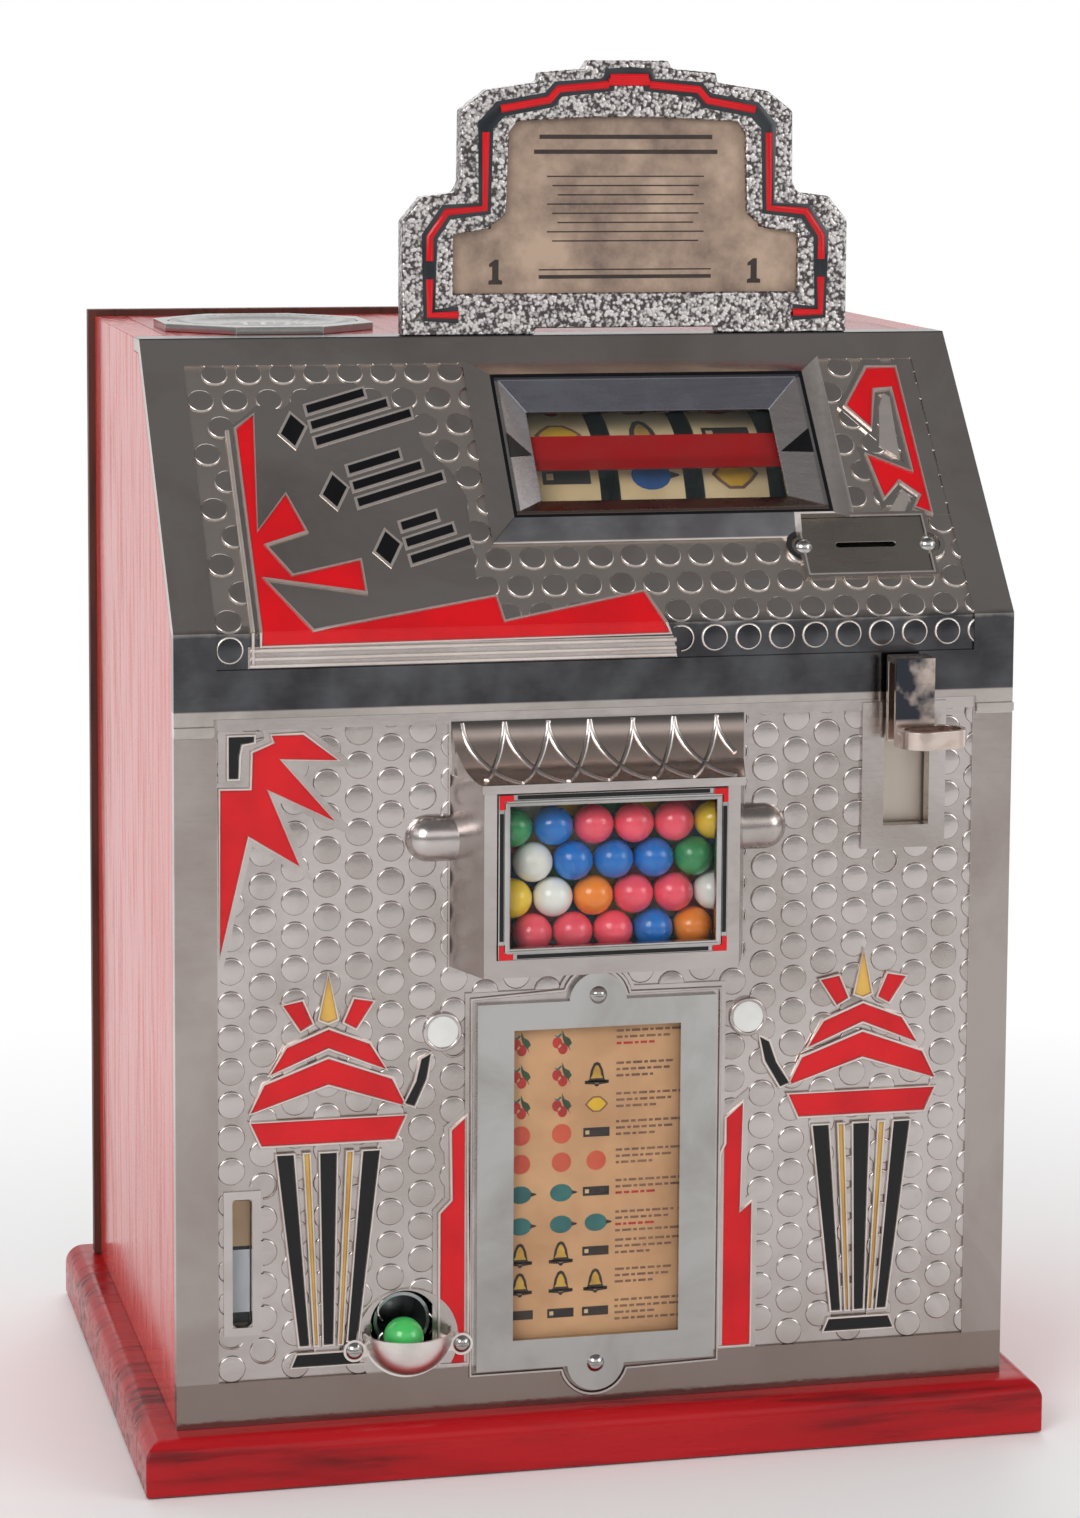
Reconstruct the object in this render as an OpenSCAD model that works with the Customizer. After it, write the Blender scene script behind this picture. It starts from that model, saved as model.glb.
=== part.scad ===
// Counter-top gum vending trade stimulator with three reels, in millimetres.
// Origin: underside of the base board, on the centre line, straight below the casting face.
// X runs to the player's right, Y from the casting face to the back, Z up.

/* [Cabinet] */
// Width over the side panels and of both castings
cab_w = 305; // [295:1:325]
// Depth from the casting face to the back of the side panels
cab_d = 216; // [210:1:250]
// Height of the top board above the table
cab_h = 398; // [394:1:420]
// Thickness of the side panels and the top board
board_t = 12; // [9:0.5:14]
// Thickness of the base board
base_t = 19.5; // [16:0.5:24]
// How far the base board stands out at the front and sides
base_out = 12.5; // [8:0.5:18]
// Rounding of the base board's upper edge
base_round = 7; // [3:0.5:9]
// Thickness of the rear door
door_t = 5; // [4:0.5:8]
// How far the rear door stands over the left side and the top
door_lip = 2.6; // [1:0.2:5]

/* [Castings] */
// Wall of the two front castings
cast_t = 5; // [4:0.5:7]
// Depth of the patterned fields below the polished borders
field_deep = 1.2; // [0.8:0.1:2]
// Width of the polished border round the fields
border = 15; // [12:0.5:18]
// Height of the joint between the two castings
joint_z = 272; // [268:1:276]
// Height of the foot of the slope
slope_foot_z = 302; // [298:1:308]
// How far the top of the slope is set back
slope_back = 85; // [80:1:90]
// Width of the flat ledge on top of the head casting
ledge_w = 12; // [10:1:16]
// Centre line of the window, the card and the canopy
mid_x = -1.6; // [-4:0.2:4]

/* [Gum window] */
// How far the window housing stands out
house_out = 22; // [18:1:26]
// Width of the housing at its front
house_w = 92; // [88:1:98]
// Extra width of the housing at the wall, each side
house_flare = 8; // [5:0.5:11]
// Lower edge of the housing
house_z = 181.5; // [178:0.5:185]
// Height of the housing under the canopy
house_h = 68.5; // [64:0.5:70]
// Wall of the housing
house_wall = 2.5; // [2:0.1:3]
// Width of the glass opening
pane_w = 74; // [68:1:78]
// Height of the glass opening
pane_h = 50; // [44:1:52]
// Diameter of a gum ball
ball_d = 14.3; // [12.7:0.1:14.5]

/* [Award card] */
// Width of the card frame
card_w = 87.5; // [80:0.5:92]
// Height of the card frame
card_h = 133.5; // [126:0.5:136]
// Lower edge of the card frame
card_z = 34; // [34:0.5:38]
// Width of the opening in the card frame
card_open_w = 61; // [56:0.5:64]
// Height of the opening in the card frame
card_open_h = 113; // [106:0.5:116]
// Radius of the frame's screw ears
ear_r = 10.5; // [8:0.5:11]

/* [Reels] */
// Outer diameter of a reel strip
reel_d = 100; // [94:1:102]
// Width of a reel drum
reel_w = 25; // [22:0.5:26]
// Distance from one reel to the next
reel_pitch = 32; // [31:0.5:34]
// Number of stops on a reel
stops = 16; // [12:4:20]
// Diameter of the reel shaft
shaft_d = 8; // [6:0.5:10]
// Depth of the reels below the face of the slope
reel_deep = 15; // [13:0.5:18]
// Centre of the reel window across the cabinet
window_x = 32.8; // [30:0.2:35]
// Centre of the reel window up the slope
window_s = 75.6; // [74:0.2:77]

/* [Controls] */
// Travel of the thumb lever
lever_travel = 31; // [26:1:32]
// Centre of the lever slot
lever_x = 112.4; // [110:0.2:114]
// Length of the coin slot
coin_slot = 22.6; // [20:0.2:24]
// Diameter of the gum filler flange across its corners
filler_d = 84.8; // [80:0.2:87]
// Radius of the gum cup's bowl
cup_r = 14.5; // [13.5:0.5:16]

/* [Hidden] */
$fn = 48;

half_w = cab_w / 2;
inner_x = half_w - board_t;
// gaps between pieces that seat, that slide and that swing
seat = 0.3;
slip = 0.05;

// the slope: its angle, its length and the heights of its inner face
slope_rise = cab_h - slope_foot_z;
slope_a = atan2(slope_rise, slope_back);
slope_l = sqrt(slope_rise * slope_rise + slope_back * slope_back);
function slope_y(s, n) = s * cos(slope_a) - n * sin(slope_a);
function slope_z(s, n) = slope_foot_z + s * sin(slope_a) + n * cos(slope_a);
function inner_y(z) = (z - slope_foot_z) / tan(slope_a) + cast_t / sin(slope_a);
function inner_z(y) = slope_foot_z + (y - cast_t / sin(slope_a)) * tan(slope_a);

// puts a shape drawn flat (x across, y up the slope, z out of it) on the slope
module on_slope() { translate([0, 0, slope_foot_z]) rotate([slope_a, 0, 0]) children(); }
// extrudes a side view (y, z) along x from x0 to x1
module side_view(x0, x1) {
    translate([x0, 0, 0]) rotate([90, 0, 90]) linear_extrude(x1 - x0) children();
}
// extrudes a front view (x, z) back from y0 to y1
module front_view(y0, y1) { translate([0, y1, 0]) rotate([90, 0, 0]) linear_extrude(y1 - y0) children(); }
// extrudes a plan view (x, y) up from z0 to z1
module plan_view(z0, z1) { translate([0, 0, z0]) linear_extrude(z1 - z0) children(); }
module box(lo, hi) { translate(lo) cube(hi - lo); }
module rod_x(x0, x1, y, z, r) { translate([x0, y, z]) rotate([0, 90, 0]) cylinder(h = x1 - x0, r = r); }
module rod_y(y0, y1, x, z, r) { translate([x, y0, z]) rotate([-90, 0, 0]) cylinder(h = y1 - y0, r = r); }
module rod_z(z0, z1, x, y, r) { translate([x, y, z0]) cylinder(h = z1 - z0, r = r); }
module area(x0, y0, x1, y1) { translate([x0, y0]) square([x1 - x0, y1 - y0]); }
// a rectangle with round corners, centred
module pill(w, h, r) {
    square([w - 2 * r, h], center = true);
    square([w, h - 2 * r], center = true);
    for (sx = [-1, 1], sy = [-1, 1])
        translate([sx * (w / 2 - r), sy * (h / 2 - r)]) circle(r);
}

// Cabinet
base_front = -base_out;
door_y = cab_d + seat;
base_back = door_y + door_t + 11;
module edge_profile(a, b, both) {
    area(a, 0, b, base_t - base_round);
    area(a + base_round, 0, both ? b - base_round : b, base_t);
    translate([a + base_round, base_t - base_round]) circle(base_round);
    if (both) translate([b - base_round, base_t - base_round]) circle(base_round);
}
module base_board() {
    color("firebrick") intersection() {
        front_view(base_front, base_back) edge_profile(-half_w - base_out, half_w + base_out, true);
        side_view(-half_w - base_out, half_w + base_out) edge_profile(base_front, base_back, false);
    }
}

module side_panel(x0) {
    wall = [[cast_t, base_t], [cab_d, base_t], [cab_d, cab_h], [inner_y(cab_h - cast_t) + ledge_w, cab_h],
        [inner_y(cab_h - cast_t) + ledge_w, cab_h - cast_t], [inner_y(cab_h - cast_t), cab_h - cast_t],
        [cast_t, inner_z(cast_t)]];
    side_view(x0, x0 + board_t) polygon(wall);
}
module side_panel_left() {
    color("indianred") difference() {
        side_panel(-half_w);
        // mortise that the lock's cam turns into
        box([-inner_x - 7, cam_y - 1.5, lock_z - 7], [-inner_x + 1, cam_y + 3.5, lock_z + 16]);
    }
}
module side_panel_right() { color("indianred") side_panel(inner_x); }

ledge_end = inner_y(cab_h - cast_t) + ledge_w;
filler_x = -98.5;
filler_y = 138.8;
filler_neck_r = 33;
module top_board() {
    color("indianred") difference() {
        box([-inner_x, ledge_end, cab_h - board_t], [inner_x, cab_d, cab_h]);
        rod_z(cab_h - board_t - 1, cab_h + 1, filler_x, filler_y, filler_neck_r + seat);
    }
}

// Rear door with its hinges and lock
hinge_x = half_w + 3.7;
hinge_y = cab_d + 1;
knuckle_r = 3;
pin_r = 1.5;
leaf_t = 1.5;
leaf_h = 50;
hinge_zs = [65, 300];
lock_x = -120;
lock_z = 210;
lock_r = 8;
module rear_door() {
    color("saddlebrown") difference() {
        box([-half_w - door_lip, door_y, base_t + 0.5], [half_w - seat, door_y + door_t, cab_h + door_lip]);
        rod_y(door_y - 1, door_y + door_t + 1, lock_x, lock_z, lock_r + slip);
    }
}
module knuckle(z0, z1) {
    difference() {
        rod_z(z0, z1, hinge_x, hinge_y, knuckle_r);
        rod_z(z0 - 1, z1 + 1, hinge_x, hinge_y, pin_r + slip);
    }
}
third = leaf_h / 3;
module hinge_frame_leaves() {
    color("dimgray") for (z = hinge_zs) {
        knuckle(z, z + third - seat);
        knuckle(z + 2 * third + seat, z + leaf_h);
        difference() {
            union() {
                box([half_w, cab_d - 28, z], [half_w + leaf_t, cab_d - 4, z + leaf_h]);
                box([half_w, cab_d - 4, z], [half_w + leaf_t, hinge_y, z + third - seat]);
                box([half_w, cab_d - 4, z + 2 * third + seat], [half_w + leaf_t, hinge_y, z + leaf_h]);
            }
            rod_z(z - 1, z + leaf_h + 1, hinge_x, hinge_y, knuckle_r - 0.2);
        }
    }
}
module hinge_door_leaves() {
    back = door_y + door_t;
    color("dimgray") for (z = hinge_zs) {
        knuckle(z + third, z + 2 * third);
        box([half_w - 26, back, z], [half_w - 1, back + leaf_t, z + leaf_h]);
        difference() {
            union() {
                box([half_w - 1, back, z + third], [hinge_x, back + leaf_t, z + 2 * third]);
                box([hinge_x - leaf_t, hinge_y, z + third], [hinge_x, back + leaf_t, z + 2 * third]);
            }
            rod_z(z, z + leaf_h, hinge_x, hinge_y, knuckle_r - 0.2);
        }
    }
}
module hinge_pins() {
    color("silver") for (z = hinge_zs) {
        rod_z(z - 0.8, z + leaf_h + 0.8, hinge_x, hinge_y, pin_r);
        rod_z(z + leaf_h, z + leaf_h + 1.4, hinge_x, hinge_y, pin_r + 0.8);
    }
}
plug_r = 5;
lock_back = door_y + door_t;
module lock_cylinder() {
    color("goldenrod") difference() {
        union() {
            rod_y(door_y - 5, lock_back + 0.5, lock_x, lock_z, lock_r);
            rod_y(lock_back, lock_back + 1.6, lock_x, lock_z, lock_r + 3);
        }
        rod_y(door_y - 6, lock_back + 3, lock_x, lock_z, plug_r + slip);
    }
}
cam_len = 24;
cam_y = door_y - 8.3;
module lock_plug() {
    color("darkgoldenrod") difference() {
        union() {
            rod_y(cam_y, lock_back + 1.6, lock_x, lock_z, plug_r);
            front_view(cam_y, cam_y + 2) union() {
                translate([lock_x, lock_z]) circle(6);
                area(lock_x - 5, lock_z, lock_x + 5, lock_z + cam_len);
            }
        }
        box([lock_x - 0.6, lock_back - 3, lock_z - 3.5], [lock_x + 0.6, lock_back + 2, lock_z + 3.5]);
    }
}

// Lower casting
field_x = half_w - border;
field_z0 = base_t + border + 1;
house_top = house_z + house_h;
house_sill = 5.7;
step_w = 14;
step_h = 6.5;
slot_w = 17;
slot_z0 = 226;
slot_z1 = slot_z0 + lever_travel + 8.1;
lever_pad = 8.2;
cup_x = -70;
cup_z = 47;
hole_r = 12.3;
view_x = -129;
view_w = 7.2;
view_z0 = 55;
view_z1 = 101.5;
disc_z = 158.2;
disc_r = 7;
disc_dx = 56;
canopy_top = joint_z - 2.5;
canopy_out = house_out + 2.5;
boss_r = 8.5;
boss_z = 227.5;
module cast_outline() {
    area(-half_w, base_t + slip, half_w, joint_z - step_h);
    area(-half_w + step_w, joint_z - step_h - 1, half_w - step_w, joint_z);
}
// plan of the window housing, drawn in by d
module housing_plan(d) {
    flare = house_flare * d / house_out;
    polygon([[mid_x - house_w / 2 - house_flare + d, 1], [mid_x + house_w / 2 + house_flare - d, 1],
        [mid_x + house_w / 2 - d + flare, d - house_out], [mid_x - house_w / 2 + d - flare, d - house_out]]);
}
module canopy() {
    cove_h = canopy_top - house_top;
    cove = [for (i = [0:12]) [-canopy_out * (1 - cos(i * 7.5)), canopy_top - cove_h * sin(i * 7.5)]];
    intersection() {
        side_view(mid_x - half_w, mid_x + half_w)
            polygon(concat(cove, [[-canopy_out, house_top - 3], [0.5, house_top - 3], [0.5, canopy_top]]));
        plan_view(house_top - 4, canopy_top + 1)
            polygon([[mid_x - house_w / 2 - house_flare + 1, 1], [mid_x + house_w / 2 + house_flare - 1, 1],
                [mid_x + house_w / 2 + 1, -canopy_out - 1], [mid_x - house_w / 2 - 1, -canopy_out - 1]]);
    }
}
module side_boss(side) {
    reach = house_w / 2 + house_flare + 15.5;
    intersection() {
        translate([mid_x + side * reach, 2, boss_z]) rotate([0, -90 * side, 0]) rotate_extrude() intersection() {
            union() {
                translate([0, boss_r]) circle(boss_r);
                area(0, boss_r, boss_r, reach);
            }
            area(0, 0, boss_r, reach - 48);
        }
        box([-half_w, -10, boss_z - 20], [half_w, cast_t - 1, boss_z + 20]);
    }
}
// outline of the card frame with its two ears, drawn out by d
module card_outline(d) {
    area(mid_x - card_w / 2 - d, card_z - d, mid_x + card_w / 2 + d, card_z + card_h + d);
    for (z = [card_z + 1, card_z + card_h - 0.5]) translate([mid_x, z]) circle(ear_r + d);
}
card_screw_z = [card_z + 0.5, card_z + card_h + 1.8];
cup_screw_dx = 19.4;
screw_r = 1.5;
module lower_field() {
    difference() {
        area(-field_x, field_z0, field_x, joint_z - 4);
        card_outline(4);
        area(mid_x - house_w / 2 - house_flare, house_z - 2, mid_x + house_w / 2 + house_flare, joint_z);
        area(lever_x - slot_w / 2 - lever_pad, slot_z0 - lever_pad, lever_x + slot_w / 2 + 6.2, joint_z);
        for (side = [-1, 1]) translate([mid_x + side * disc_dx, disc_z]) circle(disc_r);
        translate([cup_x, cup_z]) circle(cup_r + 4);
    }
}
module front_casting() {
    color("silver") difference() {
        union() {
            difference() {
                front_view(0, cast_t) cast_outline();
                front_view(-1, field_deep) lower_field();
            }
            plan_view(house_z, house_top) housing_plan(0);
            canopy();
            side_boss(-1);
            side_boss(1);
            box([lever_x - slot_w / 2 - lever_pad, -0.8, slot_z0 - lever_pad],
                [lever_x + slot_w / 2 + 6.2, 1, joint_z - 1]);
        }
        // room for the balls and the glass
        plan_view(house_z + house_sill, house_top - house_wall) intersection() {
            housing_plan(house_wall);
            area(-half_w, 3 - house_out, half_w, 2);
        }
        box([mid_x - house_w / 2 - 1, -1, house_z + house_sill], [mid_x + house_w / 2 + 1, cast_t + 1,
            house_top - house_wall]);
        front_view(-house_out - 1, 4 - house_out) translate([mid_x, house_z + house_h / 2 + 1.5])
            square([pane_w + 9, pane_h + 9], center = true);
        // lever slot, cup hole, coin view, card pocket and screw holes
        box([lever_x - slot_w / 2, -3, slot_z0], [lever_x + slot_w / 2, cast_t + 1, slot_z1]);
        rod_y(-3, cast_t + 1, cup_x - 1.2, cup_z + 5.7, hole_r);
        front_view(-3, cast_t + 1) translate([view_x, (view_z0 + view_z1) / 2])
            pill(view_w, view_z1 - view_z0, 2.4);
        box([mid_x - card_open_w / 2 - 5, -1, card_z + 5], [mid_x + card_open_w / 2 + 5, 2.8, card_z + card_h - 5]);
        for (z = card_screw_z) rod_y(-1, cast_t + 1, mid_x, z, screw_r + 0.1);
        for (side = [-1, 1]) rod_y(-1, cast_t + 1, cup_x + side * cup_screw_dx, cup_z - 2.2, screw_r + 0.1);
    }
}

// Head casting
bezel_w = 116.5;
bezel_h = 61.7;
bezel_out = 3.6;
surround_x0 = -35;
surround_x1 = 101;
surround_s0 = 35;
surround_s1 = slope_l - 11;
plate_x = 102.6;
plate_s = 31;
plate_w = 46;
plate_h = 24;
head_field_top = slope_l - 12.5;
band_field_z = slope_foot_z - 13;
foot_meet_z = slope_foot_z - field_deep * (1 - sin(slope_a)) / cos(slope_a);
head_field = [[-3, band_field_z], [field_deep, band_field_z], [field_deep, foot_meet_z],
    [slope_y(head_field_top, -field_deep), slope_z(head_field_top, -field_deep)],
    [slope_y(head_field_top, 4), slope_z(head_field_top, 4)], [slope_y(0, 4), slope_z(0, 4)]];
module head_shell() {
    shell = [[0, joint_z + slip], [0, slope_foot_z], [slope_back, cab_h], [ledge_end - slip, cab_h],
        [ledge_end - slip, cab_h - cast_t], [inner_y(cab_h - cast_t), cab_h - cast_t],
        [cast_t, inner_z(cast_t)], [cast_t, joint_z + slip]];
    side_view(-half_w, half_w) polygon(shell);
    for (side = [-1, 1]) {
        x0 = side > 0 ? half_w - step_w + slip : -half_w;
        box([x0, 0, joint_z - step_h + slip], [x0 + step_w - slip, cast_t, joint_z + 1]);
        box([x0, -1.4, joint_z - step_h + 1], [x0 + step_w - slip, 1, joint_z - step_h + 4]);
    }
}
module surround() {
    hull() {
        translate([0, 0, -1]) linear_extrude(1) area(surround_x0, surround_s0, surround_x1, surround_s1);
        translate([window_x, window_s, bezel_out - 0.01])
            linear_extrude(0.01) square([bezel_w + 2, bezel_h + 2], center = true);
    }
}
module coin_plate_outline(d) {
    translate([plate_x, plate_s]) square([plate_w + 2 * d, plate_h + 2 * d], center = true);
    for (side = [-1, 1]) translate([plate_x + side * (plate_w / 2 + 0.5), plate_s]) circle(4.5 + d);
}
module head_casting() {
    color("gray") difference() {
        union() {
            difference() {
                head_shell();
                difference() {
                    side_view(-field_x, field_x) polygon(head_field);
                    on_slope() translate([0, 0, -4])
                        linear_extrude(12) area(surround_x0, surround_s0, surround_x1, surround_s1);
                    on_slope() translate([0, 0, -4]) linear_extrude(12) coin_plate_outline(2);
                }
            }
            on_slope() surround();
            on_slope() translate([0, 0, -2]) linear_extrude(2.8) coin_plate_outline(2);
        }
        on_slope() {
            translate([window_x, window_s, -12]) linear_extrude(20)
                square([bezel_w + 2 * seat, bezel_h + 2 * seat], center = true);
            translate([0, 0, -field_deep]) linear_extrude(10) coin_plate_outline(slip);
            translate([plate_x, plate_s, -12]) linear_extrude(20) square([coin_slot + 3, 5], center = true);
            for (side = [-1, 1]) translate([plate_x + side * (plate_w / 2 + 0.5), plate_s, -12])
                cylinder(h = 20, r = screw_r + 0.1);
        }
    }
}

// Marquee
marquee_x = 29.4;
marquee_y0 = slope_back + 0.6;
marquee_t = 8;
marquee_z = cab_h;
function mirrored(half) = concat([for (p = half) [marquee_x + p[0], p[1]]],
    [for (i = [len(half) - 1:-1:0]) [marquee_x - half[i][0], half[i][1]]]);
marquee_half = [[35, 0], [85, 0], [85, 42], [77.5, 51], [65.5, 52.5], [63.5, 56], [63.2, 82.5], [53.5, 90],
    [34, 93], [33.5, 96.5], [16.5, 98], [15, 101]];
card_half = [[65.8, 15.4], [65.8, 37], [53, 39], [46, 44.5], [45, 74.5], [42, 78.5], [12, 80]];
function lifted(half, d) = [for (p = half) [p[0] + (p[1] > 20 ? d : d), p[1]]];
module marquee_outline() { translate([0, marquee_z]) polygon(mirrored(marquee_half)); }
module marquee_opening() { translate([0, marquee_z]) polygon(mirrored(card_half)); }
module marquee_frame() {
    color("lightgray") difference() {
        front_view(marquee_y0, marquee_y0 + marquee_t) marquee_outline();
        front_view(marquee_y0 - 1, marquee_y0 + marquee_t + 1) marquee_opening();
        box([marquee_x - 35, marquee_y0 - 1, marquee_z - 1], [marquee_x + 35, marquee_y0 + marquee_t + 1,
            marquee_z + 2.4]);
        translate([0, marquee_y0 + 3, 0]) pocket_cut();
    }
}
// the rear pocket that holds the card and its back plate
module pocket_cut() {
    front_view(0, marquee_t) {
        area(marquee_x - 72, marquee_z + 9, marquee_x + 72, marquee_z + 40);
        area(marquee_x - 52, marquee_z + 9, marquee_x + 52, marquee_z + 86);
    }
}
module marquee_insert(y0, y1, gap) {
    front_view(y0, y1) {
        area(marquee_x - 72 + gap, marquee_z + 9 + gap, marquee_x + 72 - gap, marquee_z + 40 - gap);
        area(marquee_x - 52 + gap, marquee_z + 9 + gap, marquee_x + 52 - gap, marquee_z + 86 - gap);
    }
}
module marquee_card() { color("tan") marquee_insert(marquee_y0 + 3, marquee_y0 + 3.6, seat); }
module marquee_backplate() { color("dimgray") marquee_insert(marquee_y0 + 3.6, marquee_y0 + 5, seat); }

// Reel window
pane_deep = 3.7;
view_open_w = 92;
view_open_h = 39.6;
module bezel_opening() {
    hull() {
        translate([0, 0, bezel_out]) linear_extrude(0.01) square([bezel_w - 3, bezel_h - 3], center = true);
        translate([0, 0, -pane_deep]) linear_extrude(0.01) square([view_open_w, view_open_h], center = true);
    }
}
module reel_bezel() {
    color("silver") on_slope() translate([window_x, window_s, 0]) difference() {
        union() {
            translate([0, 0, -cast_t - 2.2]) linear_extrude(cast_t + 2.2 + bezel_out)
                square([bezel_w, bezel_h], center = true);
            translate([0, 0, -cast_t - 2.2]) linear_extrude(2.2)
                square([bezel_w + 8, bezel_h + 6], center = true);
        }
        bezel_opening();
        translate([0, 0, -cast_t - 3]) linear_extrude(cast_t) square([view_open_w, view_open_h], center = true);
        translate([0, 0, -cast_t - 3]) linear_extrude(cast_t + 3 - pane_deep - 1.3)
            square([view_open_w + 6, view_open_h + 6], center = true);
    }
}
glass_top = -pane_deep - 1.3;
module reel_glass() {
    color("lightcyan") on_slope() translate([window_x, window_s, glass_top - 2])
        linear_extrude(2 - slip) square([view_open_w + 5.6, view_open_h + 5.6], center = true);
}
strip_h = 15;
module line_strip() {
    color("darkred") on_slope() translate([window_x, window_s + 3.8, glass_top - 2.8])
        linear_extrude(0.8) square([view_open_w + 5.6, strip_h], center = true);
}
module coin_plate() {
    color("dimgray") on_slope() translate([0, 0, -field_deep]) linear_extrude(1.6) difference() {
        coin_plate_outline(-slip);
        translate([plate_x, plate_s]) pill(coin_slot, 2.2, 1.05);
        for (side = [-1, 1]) translate([plate_x + side * (plate_w / 2 + 0.5), plate_s]) circle(screw_r + 0.1);
    }
}

// Round-head screws on the front: two on the coin plate, two on the card frame, two on the cup
module round_screw(shank) {
    difference() {
        union() {
            intersection() {
                scale(1) translate([0, 0, -1.6]) sphere(r = 3.6);
                cylinder(h = 4, r = 3.2);
            }
            translate([0, 0, -shank]) cylinder(h = shank + 0.2, r = screw_r);
        }
        translate([-4, -0.4, 1.1]) cube([8, 0.8, 2]);
    }
}
card_front = -2.5;
cup_lug_y = -2.2;
module front_screws() {
    color("lightgray") {
        on_slope() for (side = [-1, 1])
            translate([plate_x + side * (plate_w / 2 + 0.5), plate_s, 1.6 - field_deep]) round_screw(6);
        for (z = card_screw_z) translate([mid_x, card_front, z]) rotate([90, 0, 0]) round_screw(8.5);
        for (side = [-1, 1]) translate([cup_x + side * cup_screw_dx, cup_lug_y, cup_z - 2.2])
            rotate([90, 0, 0]) round_screw(8);
    }
}

// Gum window
pane_z = house_z + house_h / 2 + 1.5;
module gum_frame() {
    color("silver") front_view(-house_out - 1.2, 1.6 - house_out) translate([mid_x, pane_z]) difference() {
        square([pane_w + 8.4, pane_h + 8.4], center = true);
        square([pane_w, pane_h], center = true);
    }
}
module gum_glass() {
    color("lightcyan") front_view(1.6 - house_out, 3.6 - house_out) translate([mid_x, pane_z])
        square([pane_w + 8.4, pane_h + 8.4], center = true);
}

// Award card
module card_frame() {
    color("silver") front_view(card_front, 0) difference() {
        card_outline(0);
        area(mid_x - card_open_w / 2, card_z + 10.7, mid_x + card_open_w / 2, card_z + 10.7 + card_open_h);
        for (z = card_screw_z) translate([mid_x, z]) circle(screw_r + 0.1);
    }
}
module card_pane(y0, y1) {
    box([mid_x - card_open_w / 2 - 4.7, y0, card_z + 5.3], [mid_x + card_open_w / 2 + 4.7, y1, card_z + card_h - 5.3]);
}
module card_glass() { color("lightcyan") card_pane(0, 2.2); }
module award_card() { color("burlywood") card_pane(2.2, 2.8); }

// Gum cup: a shallow bowl on a rounded flange with a screw lug at each end
cup_wall = 1.5;
cup_mid = cup_z + 4.5;
module bowl(r, top) {
    intersection() {
        translate([cup_x, 0, cup_mid]) sphere(r);
        box([cup_x - 20, -20, cup_z - 20], [cup_x + 20, 1, top]);
    }
}
module gum_cup() {
    color("silver") difference() {
        union() {
            intersection() {
                bowl(cup_r, cup_z);
                box([cup_x - 20, -20, cup_z - 20], [cup_x + 20, 0, cup_z]);
            }
            front_view(cup_lug_y, 0) {
                intersection() {
                    translate([cup_x, cup_mid - 1]) circle(cup_r + 2);
                    area(cup_x - 20, cup_z - 20, cup_x + 20, cup_z);
                }
                for (side = [-1, 1]) {
                    translate([cup_x + side * cup_screw_dx, cup_z - 2.2]) circle(4);
                    area(cup_x + min(side * 12, side * 19), cup_z - 4.5, cup_x + max(side * 12, side * 19), cup_z);
                }
            }
        }
        bowl(cup_r - cup_wall, cup_z + 1);
        for (side = [-1, 1]) rod_y(-5, 1, cup_x + side * cup_screw_dx, cup_z - 2.2, screw_r + 0.1);
    }
}
module cup_ball() {
    color("limegreen") translate([cup_x - 2.3, -4.8, cup_mid - 1.9]) sphere(ball_d / 2);
}
module coin_glass() {
    color("lightblue") front_view(field_deep + 1.8, cast_t) translate([view_x, (view_z0 + view_z1) / 2])
        pill(view_w - 0.1, view_z1 - view_z0 - 0.1, 2.35);
}

// Thumb lever on its slide
neck_z1 = slot_z1 - 0.5;
neck_z0 = neck_z1 - 7;
strap_x0 = 103.5;
strap_x1 = 118;
slide_y0 = 7;
slide_t = 2.5;
module thumb_lever() {
    color("silver") {
        // inverted strap: back leg, crown and front leg
        box([strap_x0, -5.6, neck_z0], [strap_x1, -3.4, neck_z1 + 24]);
        box([strap_x0, -14.6, neck_z1 + 21.8], [strap_x1, -3.4, neck_z1 + 24]);
        box([strap_x0, -14.6, neck_z1 - 1], [strap_x1, -12.4, neck_z1 + 24]);
        box([107, -5.6, neck_z0], [117, slide_y0, neck_z1]);
        // thumb rest, a shallow dish with a raised rim
        difference() {
            hull() {
                rod_z(neck_z0 - 0.5, neck_z1 - 1, 112, -18, 8);
                rod_z(neck_z0 - 0.5, neck_z1 - 1, 121, -16, 8);
                box([strap_x0, -14.6, neck_z0 - 0.5], [strap_x1, -12.4, neck_z1 - 1]);
            }
            hull() {
                rod_z(neck_z0 + 1.2, neck_z1, 112, -18, 6.2);
                rod_z(neck_z0 + 1.2, neck_z1, 121, -16, 6.2);
            }
        }
    }
}
slide_z0 = slot_z0 - 8;
slide_z1 = slot_z1 + lever_travel + 4;
drive_y = 44;
drive_z = 264;
crank_l = 28;
crank_a = asin(lever_travel / 2 / crank_l);
roller_r = 3.5;
roller_y = drive_y - crank_l * cos(crank_a);
roller_z = drive_z + crank_l * sin(crank_a);
fork_gap = 0.6;
foot_t = 2;
module lever_slide() {
    color("darkgray") {
        box([lever_x - 13, slide_y0, slide_z0], [lever_x + 13, slide_y0 + slide_t, slide_z1]);
        box([lever_x - 6, slide_y0, slide_z0], [lever_x + 6, slide_y0 + 11, slide_z0 + foot_t]);
        for (z = [roller_z - roller_r - fork_gap - foot_t, roller_z + roller_r + fork_gap])
            box([lever_x - 6.5, slide_y0, z], [lever_x + 1.5, roller_y + 5, z + foot_t]);
    }
}
guide_z0 = 170;
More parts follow.
